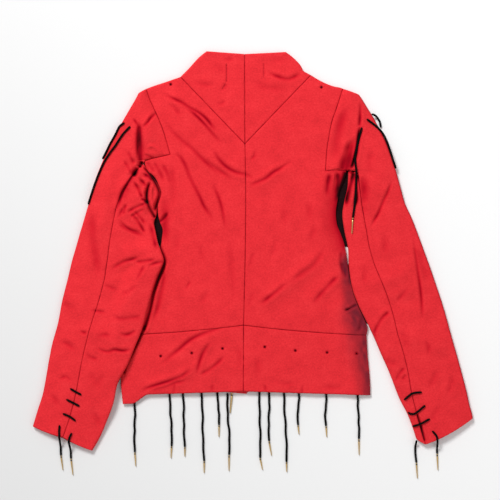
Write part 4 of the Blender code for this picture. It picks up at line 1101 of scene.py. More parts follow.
SLEEVE_FOLDS = (
    Crease(14, 4.5, 0.3, 0.3, ((-273, 184), (-300, 2))),
    Crease(14, 3.0, 0.3, 0.3, ((-193, 269), (-208, 194))),
    Crease(14, 4.0, 0.3, 0.3, ((-234, 113), (-192, 79))),
    Crease(14, 4.0, 0.3, 0.3, ((-259, -14), (-196, 14))),
    Crease(12, -2.6, 0.3, 0.3, ((-273, -53), (-194, -17))),
    Crease(16, 3.0, 0.3, 0.3, ((-344, -145), (-248, -181))),
    Crease(18, 3.0, 0.3, 0.3, ((236, 226), (266, 79))),
    Crease(10, -2.4, 0.3, 0.3, ((268, 128), (228, 39))),
    Crease(16, 3.4, 0.3, 0.3, ((218, -76), (314, -32))),
    Crease(14, -2.2, 0.3, 0.3, ((234, -114), (346, -88))),
    Crease(18, 3.0, 0.3, 0.3, ((286, -154), (386, -196))))

# What each sleeve lies on, how dark its folded outer edge is, and the cut of its two pieces. The
# right sleeve lies on the board alone.
# Shade is painted along each sleeve's folded outer edge, more on the right one, whose edge faces away from
# the light.
SLEEVE_EDGE_PAINTED_SHADE = {"left": 0.12, "right": 0.62}
SLEEVE_CUTS = {
    "left": (((0.24, 0.69), 0.105), ((0.23, 0.57), 0.095)),
    "right": (((0.27, 0.7), 0.125), ((0.16, 0.55), 0.06))}

LEFT_CREASES = (
    Crease(2.6, -2.4, 0.1, 0.3, ((-428.7, -342.6), (-411.2, -351.4), (-391.7, -358.2), (-372.2, -366))),
    Crease(3.2, -2.6, 0.2, 0.2, ((-185, 269), (-197, 259), (-204, 249), (-214, 238))),
    Crease(3.0, -1.8, 0.3, 0.2, ((-234, 259), (-224, 245), (-218, 234))),
    Lap(1.0, 3.2, 14, 0.25, 0.35, ((-222, 172), (-225, 190), (-225, 208), (-225, 226), (-223, 242),
                                   (-219, 255))),
    # These two paint the shadow of the raised outer piece on the cloth beside it, over shallow troughs.
    Crease(5.9, -3.4, 0.05, 0.2, ((-217.5, 173.2), (-219.3, 196.6), (-220.1, 216.1), (-220.3, 235.6),
                                 (-219.9, 251.2))),
    Crease(7.5, -2.6, 0.1, 0.4, ((-215.2, 177.1), (-218.1, 200.5), (-219.1, 221.9), (-220.1, 243.4))),
    Crease(4.4, -8, 0.25, 0.25, ((-214.2, 175.1), (-217.7, 168.3), (-221, 160.5))),
    Crease(5.6, -8, 0.25, 0.25, ((-223.6, 162.4), (-228.6, 152.7), (-232.7, 142))),
    Crease(4, 1.8, 0.3, 0.3, ((-208.4, 196.6), (-196.7, 202.4), (-185, 196.6), (-173.3, 184.9))),
    Crease(3.5, -1.6, 0.3, 0.3, ((-243.5, 194.6), (-235.7, 179), (-227.9, 165.4))),
    Crease(3.5, -1.4, 0.3, 0.3, ((-251.3, 177.1), (-241.5, 161.5), (-233.7, 145.9))),
    Crease(3.4, -1.5, 0.3, 0.3, ((-212.3, 186.8), (-200.6, 182.9), (-186.9, 173.2))),
    Crease(8, -2.2, 0.3, 0.3, ((-313.7, 83.5), (-311.7, 56.2), (-309.8, 21.1), (-303.9, -14),
                                 (-300, -56.9))),
    Lap(1.0, 3.6, 13, 0.5, 0.1, ((-275, 60), (-269, 76), (-261, 90), (-256, 105), (-251, 119),
                                 (-243, 132), (-233, 147), (-222, 161))),
    Crease(3.6, -2.2, 0.1, 0.5, ((-241.5, 132.2), (-250.3, 118.6), (-256.1, 104.9), (-260, 89.3),
                                 (-264.9, 71.8))),
    Crease(7.5, -1.6, 0.3, 0.3, ((-239.6, 126.4), (-247.4, 112.7), (-253.2, 97.1))),
    Crease(3.4, -6.5, 0.15, 0.05, ((-196.7, 136.1), (-202.5, 126.4), (-205.8, 112.7), (-205.4, 99.1),
                                 (-201.5, 85.4), (-195.7, 73.7), (-188.9, 63))),
    Crease(3.6, -5, 0.3, 0.2, ((-218.1, 100), (-210.3, 98.1), (-202.5, 90.3))),
    Crease(3.4, -1.8, 0.3, 0.3, ((-187, 124.4), (-183, 110.8), (-185.9, 95.2), (-189.8, 79.6))),
    Crease(3.0, -5.5, 0.12, 0.1, ((-215, 167), (-208, 158), (-200.5, 149), (-189, 131), (-181.5, 112.5),
                                 (-184.5, 99),
                                  (-188.5, 86), (-190, 74))),
    Crease(3.2, 2.4, 0.2, 0.2, ((-194.7, 130.3), (-196.1, 108.8), (-193.7, 87.4), (-189.8, 73.7))),
    Crease(4.4, -3, 0.3, 0.3, ((-214.2, 149.8), (-202.5, 143.9), (-192.8, 134.2))),
    Crease(3.4, -2.4, 0.3, 0.2, ((-232.7, 136.1), (-224, 123.4), (-217.1, 108.8), (-212.3, 100))),
    Crease(3.4, 1.8, 0.3, 0.3, ((-227.9, 138.1), (-218.1, 124.4), (-210.3, 108.8))),
    Crease(3.6, -2.6, 0.3, 0.3, ((-222, 140), (-212.3, 132.2), (-206.4, 122.5))),
    Crease(3.2, -1.8, 0.3, 0.3, ((-245.4, 93.2), (-248.3, 81.5), (-251.3, 67.9))),
    Crease(3.4, -2.2, 0.3, 0.2, ((-237.6, 73.7), (-225.9, 61), (-215.2, 44.5), (-208.4, 31.8))),
    Crease(3, 1.6, 0.3, 0.3, ((-231.8, 75.7), (-220.1, 62), (-208.4, 40.6))),
    Crease(3.4, -1.8, 0.3, 0.3, ((-231.8, 79.6), (-220.1, 66.9), (-206.4, 50.3))),
    Crease(3.4, -1.9, 0.3, 0.2, ((-261, 61), (-247.4, 47.4), (-233.7, 39.6), (-216.2, 35.7))),
    Crease(3.4, -2, 0.3, 0.2, ((-245.4, 71.8), (-231.8, 81.5), (-214.2, 89.3), (-204.5, 92.2))),
    Crease(3.2, -1.4, 0.3, 0.3, ((-239.6, 64), (-224, 73.7), (-208.4, 81.5))),
    Crease(4, -1.6, 0.3, 0.4, ((-261, 62), (-255.2, 75.7), (-247.4, 87.4))),
    Crease(5, -2.2, 0.3, 0.3, ((-200.6, 56.2), (-194.7, 36.7), (-188.9, 13.3), (-185, -2.3))),
    Crease(4.0, -1.5, 0.3, 0.3, ((-263, 56), (-247, 43), (-228, 35), (-208, 29))),
    Crease(3.8, -2.0, 0.3, 0.3, ((-275, -39), (-263, -28), (-247, -20), (-232, -16), (-214, -10))),
    Crease(3.4, -1.8, 0.3, 0.3, ((-232, -22), (-208, -20), (-185, -16))),
    Crease(3.6, -1.8, 0.4, 0.1, ((-204, -32), (-189, -24), (-171, -22))),
    Crease(4.0, -1.6, 0.3, 0.4, ((-208, -26), (-218, -43), (-226, -59))),
    Crease(5.0, -0.9, 0.3, 0.4, ((-292, -65), (-275, -71), (-257, -78))),
    Crease(5.0, -0.9, 0.3, 0.4, ((-257, -82), (-240, -78), (-222, -65))),
    Crease(3.5, -1.3, 0.4, 0.2, ((-318, -115), (-300, -117), (-284, -119))),
    Crease(5.8, -1.2, 0.4, 0.2, ((-277, -125), (-253, -131), (-234, -129), (-214, -127))),
    Crease(3.5, -1.6, 0.4, 0.2, ((-337, -156), (-321, -160))),
    Crease(5.0, -1.2, 0.4, 0.4, ((-306, -168), (-286, -162), (-271, -166))),
    Crease(4.0, -1.8, 0.4, 0.1, ((-261, -158), (-243, -162), (-226, -154))),
    Crease(3.6, -2.2, 0.3, 0.2, ((-306, -186), (-292, -193), (-279, -195), (-267, -191), (-249, -193),
                                 (-232, -190))),
    Crease(4.5, -1.2, 0.3, 0.4, ((-325, -199), (-312, -207), (-296, -211))),
    Crease(6.0, -1.6, 0.4, 0.4, ((-380, -176), (-362, -180), (-349, -188), (-339, -195))),
    Crease(5.0, -1.2, 0.4, 0.4, ((-378, -250), (-362, -244), (-351, -256))),
    Crease(6.0, -1.0, 0.4, 0.4, ((-320, -234), (-306, -250), (-300, -268))),
    Crease(6.0, -1.0, 0.4, 0.4, ((-372, -96), (-357, -108), (-339, -112))),
    Crease(6.0, -1.0, 0.4, 0.4, ((-284, -236), (-296, -252), (-302, -275))),
    Crease(6.0, -1.0, 0.4, 0.4, ((-399, -275), (-384, -287), (-376, -307))),
    Crease(6.0, -1.0, 0.4, 0.4, ((-318, -310), (-304, -322), (-296, -346))))
RIGHT_CREASES = (
    Crease(9.0, -2.6, 0.3, 0.3, ((193, 286), (178, 267), (168, 239), (162, 204), (160, 169))),
    Crease(3.4, -2.6, 0.4, 0.1, ((208.9, 290.2), (208.6, 274.6), (207.6, 255.1), (206, 239.5))),
    Crease(4.5, -4.8, 0.25, 0.2, ((208.9, 245.3), (206.6, 231.7), (203.5, 214.1), (200.4, 194.6),
                                 (196.5, 177.1), (190.4, 161.5), (183.6, 151.7))),
    Crease(6.5, -6.4, 0.35, 0.04, ((196.3, 221.9), (191.4, 200.5), (187.5, 181), (183.2, 165.4),
                                 (181.3, 154.6))),
    Crease(7, -4.6, 0.3, 0.1, ((189.4, 216.1), (182.6, 192.7), (175.8, 173.2), (171.9, 153.7))),
    Crease(3.4, 1.8, 0.3, 0.1, ((199.2, 200.5), (192.4, 182.9), (186.5, 167.3), (180.7, 153.7))),
    Crease(3.4, -3.2, 0.1, 0.3, ((183.6, 155.6), (191.4, 151.7), (199.2, 153.7))),
    Lap(1.0, -4.0, 15, 0.3, 0.1, ((207, 246), (204, 228), (201, 210), (198, 192), (194, 174), (190, 158))),
    Crease(3.4, 2.2, 0.2, 0.2, ((192.4, 140), (188.5, 126.4), (186.1, 112.7))),
    Crease(5.2, -5.6, 0.05, 0.3, ((196.3, 151.7), (191.4, 134.2), (186.5, 116.6), (182.6, 99.1),
                                 (180.7, 79.6))),
    Crease(4.4, -4.4, 0.1, 0.3, ((202.1, 149.8), (200.2, 126.4), (201.1, 103), (197.2, 79.6))),
    Crease(9, -3.4, 0.3, 0.3, ((210.9, 153.7), (214.8, 130.3), (215.8, 106.9), (211.9, 83.5))),
    Crease(3.2, -2.2, 0.3, 0.3, ((271, 140), (262, 115), (252, 93), (244, 74), (234, 56), (226, 41))),
    Crease(3.4, -2.0, 0.3, 0.2, ((310, 33), (314, 5), (318, -24), (322, -53), (326, -82), (328, -110),
                                 (328, -139))),
    Crease(8.0, -1.4, 0.3, 0.4, ((314, 13), (324, -14), (334, -41), (345, -69))),
    Crease(4.0, -1.9, 0.1, 0.4, ((265, -117), (252, -129), (242, -145), (236, -160), (240, -178))),
    Crease(5.0, -1.0, 0.4, 0.4, ((304, -69), (289, -86), (275, -104))),
    Crease(4.0, -1.4, 0.2, 0.4, ((295, -225), (285, -238), (275, -256))),
    Crease(4.0, -1.2, 0.2, 0.4, ((297, -240), (289, -252))),
    Crease(6.0, -1.2, 0.4, 0.4, ((359, -229), (349, -250), (342, -271))),
    Crease(6.0, -1.2, 0.4, 0.4, ((390, -238), (384, -260), (375, -283))),
    Crease(6.0, -1.2, 0.4, 0.4, ((221, 107), (215, 87), (221, 66))),
    Crease(7.0, -1.0, 0.4, 0.4, ((232, 197), (226, 173), (230, 150))),
    Crease(7.0, -1.0, 0.4, 0.4, ((248, 37), (256, 13), (254, -14))),
    Crease(5.0, -1.0, 0.4, 0.4, ((330, -170), (340, -186), (338, -205))),
    Crease(6.0, -1.0, 0.4, 0.4, ((283, -154), (295, -170), (299, -193))),
    Crease(6.0, -1.0, 0.4, 0.4, ((209, -22), (217, -45), (213, -69))),
    Crease(6.0, -1.0, 0.4, 0.4, ((258, -205), (267, -217), (283, -217))),
    Crease(6.0, -1.0, 0.4, 0.4, ((365, -299), (353, -314), (347, -334))),
    Crease(2.4, -5.0, 0.2, 0.05, ((317, -312), (324, -333), (334, -370))))


def edge_at(points, y):
    """X of an edge that runs down the body, at each height."""
    line = np.array(points)[::-1]
    return np.interp(y, line[:, 1], line[:, 0])


def over_body(x, y):
    """How far the left sleeve is lifted where it lies over the side of the body."""
    side = edge_at(SIDE_LEFT + SKIRT_LEFT, y)
    return OVER_BODY * eased((x - side + OVER_START) / OVER_RUN) * eased((OVER_TOP_Y - y) / OVER_FADE)


def on_board(x, y):
    """The right sleeve lies on the board."""
    return np.zeros(x.shape)


def lowest_near(height, reach=HIDDEN_STEP + 1):
    """The lowest height within some rows and columns of each place."""
    for axis in (0, 1):
        padded = np.pad(height, [(reach, reach) if way == axis else (0, 0) for way in (0, 1)], mode="edge")
        windows = [np.take(padded, range(start, start + height.shape[axis]), axis)
                   for start in range(2 * reach + 1)]
        height = np.min(windows, axis=0)
    return height


def sleeve_piece(name, edge, seam, under, shares, bows, corners, base, creases, seams, seed, rim=0.0):
    """A piece from its seam on top, round a folded edge, to its seam underneath."""
    places = row_places(edge, seam)
    edge, seam, under = (along(line, places, corners) for line in (edge, seam, under))
    shares = np.interp(places, np.arange(len(shares)), shares)
    bows = np.interp(places, np.arange(len(bows)), bows)
    outer = []
    inner = []
    for row in range(len(places)):
        width = np.linalg.norm(seam[row] - edge[row])
        below = np.linalg.norm(under[row] - edge[row])
        roll = min(ROLL, width * 0.45, below * 0.45)
        wall_in = min(WALL, roll * 0.7)
        seam_steps = np.array(SEAM_STEPS) * min(1, width / 4 / SEAM_STEPS[-1]) + SEAM_GAP / 2
        turn = np.array(ROLL_TURNS) * roll
        top_aside = np.concatenate((width - seam_steps, np.linspace(
            width - seam_steps[-1], roll, TOP_COLUMNS + 1)[1:]))
        low_aside = np.linspace(roll, below - SEAM_GAP / 2, LOW_COLUMNS + 1)
        aside = np.concatenate((top_aside, turn, [0.0], turn[::-1], low_aside))
        above = len(top_aside) + len(turn) + 1
        upper = np.arange(len(aside)) < above
        rolled = (np.arange(len(aside)) >= len(top_aside)) & (np.arange(len(aside)) < above + len(turn))
        inward = np.where(rolled, wall_in + (roll - wall_in) * aside / roll, aside)
        for grid, spread in ((outer, aside), (inner, inward)):
            toward = np.where(upper[:, None], (seam[row] - edge[row]) / width,
                              (under[row] - edge[row]) / below)
            part = spread / np.where(upper, width, below)
            place = edge[row] + toward * spread[:, None]
            place[:, 1] -= bows[row] * 4 * part * (1 - part)
            grid.append(np.column_stack((place, aside, upper, rolled, np.full(len(aside), shares[row]),
                                         np.full(len(aside), width), np.full(len(aside), roll))))
    x, y, aside, upper, rolled, share, width, roll = np.moveaxis(np.array(outer), -1, 0)
    ix, iy = np.array(inner)[:, :, 0], np.array(inner)[:, :, 1]
    upper = upper > 0
    crown = SLEEVE_CROWN * np.sin(np.pi * np.minimum(share * aside / width, 1.0))
    folds, seam_folds = folds_at(x, y, creases), seams_at(x, y, seams, seed)
    top = SLEEVE_HEIGHT + SLEEVE_LIFT + crown + big_folds(x, y, SLEEVE_FOLDS) + handled(x, y, seed)
    top = np.maximum(top + folds[0] + seam_folds[0], THINNEST + END_DROP)
    turned = np.where(rolled > 0, rounded(aside / roll, ROLL_POWER), 1.0)
    steps = np.concatenate(([0.0], np.cumsum(np.hypot(*np.diff((edge + seam) / 2, axis=0).T))))
    from_end = np.minimum(steps, steps[-1] - steps)[:, None]
    if corners:
        from_head = np.minimum(steps / HEAD_ROLL, 1)[:, None]
        turned = turned * rounded(from_head, ROLL_POWER)
    top = top - END_DROP * (1 - rounded(from_end / END_REACH))
    middle = np.minimum(SLEEVE_HEIGHT / 2, top - THINNEST)
    crease_below = np.maximum(-folds_at(x + UNDER_SHIFT[0], y + UNDER_SHIFT[1], creases)[0], 0)
    floor = np.minimum(UNDER_SHARE * crease_below, UNDER_DEEPEST) * (rolled == 0)
    z = np.where(upper, middle + (top - middle) * turned, middle - (middle - floor) * turned)
    ceiling = np.clip(lowest_near(top) - WALL, floor + LEAST_INSIDE, None)
    ground = np.minimum(WALL, ceiling - LEAST_HOLLOW)
    between = (ceiling + ground) / 2
    iz = np.where(upper, between + (ceiling - between) * turned, between - (between - ground) * turned)
    outer_points = np.stack((x, y, base(x, y) + z), -1)
    inner_points = np.stack((ix, iy, base(ix, iy) + iz), -1)
    grain = np.stack((np.where(upper, -aside, aside), np.broadcast_to(-steps[:, None], x.shape)), -1)
    # Shade is painted along the folded outer edge, as much as rim says.
    depth = (folds[1] + seam_folds[1] + rim * np.exp(-(aside / EDGE_PAINTED_SHADE_REACH) ** 2)) * upper
    if edge[0][0] < seam[0][0]:
        outer_points, inner_points = outer_points[:, ::-1], inner_points[:, ::-1]
        grain, depth = grain[:, ::-1], depth[:, ::-1]
    return cloth_wall(name, outer_points, inner_points, grain, depth)


for side, armscye, head, rows, base, creases in (
        ("left", ARMSCYE_LEFT, HEAD_EDGE_LEFT, SLEEVE_LEFT, over_body, LEFT_CREASES),
        ("right", ARMSCYE_RIGHT, HEAD_EDGE_RIGHT, SLEEVE_RIGHT, on_board, RIGHT_CREASES)):
    head_seam = [(x, y + (SEAM_GAP if number >= len(armscye) - 2 else 0))
                 for number, (x, y) in enumerate(armscye)]
    under = [tuple(np.add(row.seam, (np.add(row.outer, row.inner) / 2 - row.seam)
                          * min((number + 1) / UNDER_SEAM_ROWS, 1))) for number, row in enumerate(rows)]
    outer_width = [math.dist(row.outer, row.seam) for row in rows]
    inner_width = [math.dist(row.inner, row.seam) for row in rows]
    outer_share = [a / (a + b) for a, b in zip(outer_width, inner_width)]
    arm_seam = smooth_line([row.seam for row in rows])
    corner = len(armscye) - 2
    cuff = [0.0] * (len(rows) - 1) + [CUFF_BOW]
    outer = sleeve_piece(
        "cloth_sleeve_%s_outer" % side, list(head) + [row.outer for row in rows],
        head_seam + [row.seam for row in rows], head_seam + under, [1.0] * len(armscye) + outer_share,
        [0.0] * len(armscye) + [bow * share for bow, share in zip(cuff, outer_share)],
        (corner, corner + 1), base, creases, (armscye_seams[side], arm_seam), seed=11,
        rim=SLEEVE_EDGE_PAINTED_SHADE[side])
    inner = sleeve_piece(
        "cloth_sleeve_%s_inner" % side, [row.inner for row in rows], [row.seam for row in rows], under,
        [1 - share for share in outer_share], [bow * (1 - share) for bow, share in zip(cuff, outer_share)],
        (), base, creases, (arm_seam,), seed=15)
    outer_cut, inner_cut = SLEEVE_CUTS[side]
    for item, (size, area) in ((outer, outer_cut), (inner, inner_cut)):
        item.data.materials.append(red_cotton)
        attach(item, "root")
        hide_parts(item.name.replace("cloth_", ""))


# A narrow black strip of thin cotton on each side, between the side of the body and the sleeve: painted
# shade at the bottom of the underarm openings. It is joined to the front.
SHADE_STRIP_UNDER = 0.3
SHADE_STRIP_TOP = 1.2
SHADE_STRIP_BUMPS = 0.15
SHADE_STRIP_ROWS = 90
SHADE_STRIP_COLUMNS = 9
BODY_EDGE_GAP = 0.2
TUCK = 0.8
NARROWEST = 0.4
FLARE_RUN = 6.0
FLARE_EDGE = 1.5
# Each stretch of the strip has its top, its bottom and how much wider its top end is.
SHADE_STRIP_LEFT = ((175.0, 4.0, 4.5),)
SHADE_STRIP_RIGHT = ((158.0, 8.0, 16.0), (-26.0, -142.0, 0.0))

painted_shade_black = cotton(
    "painted_shade_black", base=(0.012, 0.004, 0.005), pale=(0.02, 0.008, 0.009), full=(0.006, 0.002, 0.002),
    painted_deepest_shade=(0.004, 0.002, 0.002))


def joined_piece(name, items):
    """Several meshes made one piece."""
    bpy.ops.object.select_all(action="DESELECT")
    for item in items:
        item.select_set(True)
    bpy.context.view_layer.objects.active = items[0]
    bpy.ops.object.join()
    items[0].name = name
    items[0].data.name = name
    return items[0]


for side, body_edge, rows, spans in (
        ("left", SIDE_LEFT, SLEEVE_LEFT, SHADE_STRIP_LEFT), ("right", SIDE_RIGHT, SLEEVE_RIGHT, SHADE_STRIP_RIGHT)):
    arm_edge = smooth_line([row.inner for row in rows])
    body_line = smooth_line(body_edge)
    turn = 1 if side == "left" else -1
    strips = []
    for top, bottom, flare in spans:
        y = np.linspace(top, bottom, SHADE_STRIP_ROWS)
        near_body = edge_at(body_line, y) - turn * BODY_EDGE_GAP
        near_arm = edge_at(arm_edge, y) - turn * TUCK
        gap = np.maximum((near_body - near_arm) * turn, NARROWEST)
        gap += flare * eased((y - top + FLARE_RUN) / FLARE_EDGE)
        share = np.linspace(1, 0, SHADE_STRIP_COLUMNS)[::turn]
        x = near_body[:, None] - turn * gap[:, None] * share
        y = np.broadcast_to(y[:, None], x.shape)
        top_side = np.stack((x, y, SHADE_STRIP_TOP + SHADE_STRIP_BUMPS * bumps(x, y, size=6.0, seed=41)), -1)
        low_side = np.stack((x, y, np.full(x.shape, SHADE_STRIP_UNDER)), -1)
        strip = cloth_wall("lining", top_side, low_side, np.stack((x, y), -1), np.zeros(x.shape))
        strip.data.materials.append(painted_shade_black)
        strips.append(strip)
    joined_piece("cloth_front_" + side, [bpy.data.objects["cloth_front_" + side], *strips])


# Worked eyelets: seven round the skirt and one in each shoulder, each a ring of buttonhole stitches
# in red thread round a small punched hole. The hole is only a dark hollow, about 3 mm across.
EYELET_RADIUS = 2.1
EYELET_THREAD = 0.75
EYELET_HOLE = 1.7
EYELET_HOLE_DEPTH = 0.5
EYELET_LIFT = 0.1
EYELET_STITCHES = 24
EYELET_SWELL = (1.08, 1.08, 1.3)
ABOVE = 100.0

cloth_pieces = [item for item in bpy.data.objects if item.name.startswith("cloth_")]


def cloth_tree(items):
    """A search tree over the faces of the cloth, in millimetres."""
    points = []
    faces = []
    for item in items:
        first = len(points)
        places = np.zeros(len(item.data.vertices) * 3)
        item.data.vertices.foreach_get("co", places)
        points += (places.reshape(-1, 3) / MM).tolist()
        faces += [[first + corner for corner in face.vertices] for face in item.data.polygons]
    return BVHTree.FromPolygons(points, faces)


top_cloth = cloth_tree(item for item in cloth_pieces if "front" not in item.name)


def cloth_height(x, y):
    """Height of the top of the cloth at a place, or of the board beside it."""
    hit = top_cloth.ray_cast(Vector((x, y, ABOVE)), Vector((0, 0, -1)))[0]
    return hit.z if hit else 0.0


def plain_finish(name, colour, roughness, metallic=0.0, gloss=0.12):
    """A finish of one colour, with a fine grain in its roughness."""
    material = bpy.data.materials.new(name)
    material.use_nodes = True
    nodes = material.node_tree.nodes
    link = material.node_tree.links.new
    shader = nodes["Principled BSDF"]
    shader.inputs["Base Color"].default_value = (*colour, 1)
    shader.inputs["Metallic"].default_value = metallic
    shader.inputs["Specular IOR Level"].default_value = gloss
    spot = nodes.new("ShaderNodeTexCoord")
    grain = nodes.new("ShaderNodeTexNoise")
    grain.inputs["Scale"].default_value = 900
    spread = nodes.new("ShaderNodeMapRange")
    spread.inputs["To Min"].default_value = roughness - 0.1
    spread.inputs["To Max"].default_value = roughness + 0.1
    link(spot.outputs["Object"], grain.inputs["Vector"])
    link(grain.outputs["Fac"], spread.inputs["Value"])
    link(spread.outputs["Result"], shader.inputs["Roughness"])
    return material


def select_points(item, chosen):
    """In edit mode, select only the points whose place is chosen."""
    bpy.ops.object.mode_set(mode="EDIT")
    bpy.ops.mesh.select_mode(type="VERT")
    bpy.ops.mesh.select_all(action="DESELECT")
    bpy.ops.object.mode_set(mode="OBJECT")
    for vertex in item.data.vertices:
        vertex.select = bool(chosen(vertex.co))
    bpy.ops.object.mode_set(mode="EDIT")


def copy_of(model, name, places):
    """A copy of a modelled piece with its own mesh, moved by a matrix that is in metres."""
    mesh = model.data.copy()
    mesh.name = name
    mesh.transform(places)
    item = bpy.data.objects.new(name, mesh)
    bpy.context.scene.collection.objects.link(item)
    return item


red_thread = plain_finish("red_thread", (0.34, 0.003, 0.011), roughness=0.75, gloss=0.05)
# The hole's near-black finish is painted shade: the hollow is only half a millimetre deep.
eyelet_dark = plain_finish("eyelet_dark", (0.03, 0.001, 0.002), roughness=0.9, gloss=0.03)

bpy.ops.object.select_all(action="DESELECT")
bpy.ops.mesh.primitive_torus_add(
    major_radius=EYELET_RADIUS * MM, minor_radius=EYELET_THREAD * MM, major_segments=2 * EYELET_STITCHES,
    minor_segments=8)
eyelet_ring = bpy.context.object
select_points(
    eyelet_ring, lambda spot: round(math.atan2(spot.y, spot.x) / math.tau * 2 * EYELET_STITCHES) % 2)
bpy.ops.transform.resize(value=EYELET_SWELL)
bpy.ops.object.mode_set(mode="OBJECT")
bpy.ops.object.shade_smooth()
eyelet_ring.data.materials.append(red_thread)
bpy.ops.object.select_all(action="DESELECT")
bpy.ops.mesh.primitive_circle_add(vertices=24, radius=EYELET_HOLE * MM, fill_type="NGON")
eyelet_hole = bpy.context.object
select_points(eyelet_hole, lambda spot: True)
bpy.ops.mesh.extrude_region_move(TRANSFORM_OT_translate={"value": (0, 0, -EYELET_HOLE_DEPTH * MM)})
bpy.ops.mesh.select_all(action="SELECT")
bpy.ops.mesh.normals_make_consistent(inside=False)
bpy.ops.object.mode_set(mode="OBJECT")
eyelet_hole.data.materials.append(eyelet_dark)
eyelet = joined_piece("eyelet", [eyelet_ring, eyelet_hole])

for number, (x, y) in enumerate(EYELETS, 1):
    height = max(cloth_height(x + dx, y + dy) for dx, dy in ((2, 0), (-2, 0), (0, 2), (0, -2)))
    spot = Matrix.Translation(Vector((x, y, height + EYELET_LIFT)) * MM)
    item = copy_of(eyelet, "eyelet_%d" % number, spot)
    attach(item, "root")
bpy.data.objects.remove(eyelet)


# Two short rows of hand stitches in the collar, in dark red thread, that hold the collar's inside
# on each side of the centre back. Each stitch is a small rounded stroke that lies on the cloth.
STITCH_STEP = 2.9
STITCH_LENGTH = 2.1
STITCH_WIDTH = 0.55
STITCH_LIFT = 0.2
STITCH_ROWS = {
    "left": ((-51.4, 364.0), (-51.2, 340.0), (-51.6, 331.0), (-55.0, 322.0), (-61.0, 313.0)),
    "right": ((21.0, 364.0), (21.4, 350.0), (21.0, 335.0))}

dark_thread = plain_finish("dark_thread", (0.2, 0.004, 0.01), roughness=0.75)
bpy.ops.object.select_all(action="DESELECT")
bpy.ops.mesh.primitive_uv_sphere_add(segments=8, ring_count=6, radius=STITCH_WIDTH / 2 * MM)
stitch = bpy.context.object
for way in (1, -1):
    select_points(stitch, lambda spot: spot.y * way > 0.01 * MM)
    bpy.ops.transform.translate(value=(0, way * (STITCH_LENGTH - STITCH_WIDTH) / 2 * MM, 0))
    bpy.ops.object.mode_set(mode="OBJECT")
bpy.ops.object.shade_smooth()
stitch.data.materials.append(dark_thread)

for side, points in STITCH_ROWS.items():
    line = smooth_line(points, parts=8)
    done = np.concatenate(([0.0], np.cumsum(np.hypot(*np.diff(line, axis=0).T))))
    stitches = []
    for middle in np.arange(STITCH_STEP / 2, done[-1], STITCH_STEP):
        x, y = np.interp(middle, done, line[:, 0]), np.interp(middle, done, line[:, 1])
        ahead_x = np.interp(middle + 1, done, line[:, 0]) - np.interp(middle - 1, done, line[:, 0])
        ahead_y = np.interp(middle + 1, done, line[:, 1]) - np.interp(middle - 1, done, line[:, 1])
        turn = Matrix.Rotation(math.atan2(ahead_y, ahead_x) - math.pi / 2, 4, "Z")
        spot = Matrix.Translation(Vector((x, y, cloth_height(x, y) + STITCH_LIFT)) * MM)
        stitches.append(copy_of(stitch, "stitch", spot @ turn))
    item = joined_piece("collar_stitches_" + side, stitches)
    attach(item, "root")
bpy.data.objects.remove(stitch)


# The aglets: sheet brass rolled into a tapered tube, with a dark crimped ring near its top. One is
# modelled with a length of 1 and is stretched to the length of each real one.
AGLET_TOP_RADIUS = 1.7
AGLET_PROFILE = (
    (0.01, 1.65), (0.055, 1.7), (0.062, 1.45), (0.13, 1.45), (0.137, 1.6), (0.3, 1.5), (0.6, 1.2),
    (0.93, 0.85), (0.985, 0.7), (1.0, 0.4))
CRIMP = (0.056, 0.136)

brass = plain_finish("brass", (0.66, 0.45, 0.19), roughness=0.34, metallic=1.0, gloss=0.5)
crimp_dark = plain_finish("crimp_dark", (0.012, 0.009, 0.008), roughness=0.6)
bpy.ops.object.select_all(action="DESELECT")
bpy.ops.mesh.primitive_circle_add(vertices=16, radius=AGLET_TOP_RADIUS * MM, fill_type="NGON")
aglet_model = bpy.context.object
select_points(aglet_model, lambda spot: True)
bpy.ops.mesh.select_mode(type="FACE")
radius, along_tube = AGLET_TOP_RADIUS, 0.0
for place, wanted in AGLET_PROFILE:
    bpy.ops.mesh.extrude_region_move(TRANSFORM_OT_translate={"value": (0, 0, place - along_tube)})
    bpy.ops.transform.resize(value=(wanted / radius, wanted / radius, 1))
    radius, along_tube = wanted, place
bpy.ops.mesh.select_all(action="SELECT")
bpy.ops.mesh.normals_make_consistent(inside=False)
bpy.ops.object.mode_set(mode="OBJECT")
aglet_model.data.materials.append(brass)
aglet_model.data.materials.append(crimp_dark)
for face in aglet_model.data.polygons:
    face.material_index = int(CRIMP[0] < face.center.z < CRIMP[1])
bpy.ops.object.shade_smooth()


def aglet(name, start, tip, stout=1.0):
    """An aglet from its top to its tip, whose places are in millimetres."""
    first, last = Vector(start) * MM, Vector(tip) * MM
    ahead = last - first
    turn = ahead.to_track_quat("Z", "Y").to_matrix().to_4x4()
    stretch = Matrix.Diagonal((stout, stout, ahead.length, 1))
    item = copy_of(aglet_model, name, Matrix.Translation(first) @ turn @ stretch)
    item.data.set_sharp_from_angle(angle=math.radians(50))
    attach(item, "root")
    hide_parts(name.replace("brass_", ""))
    return item


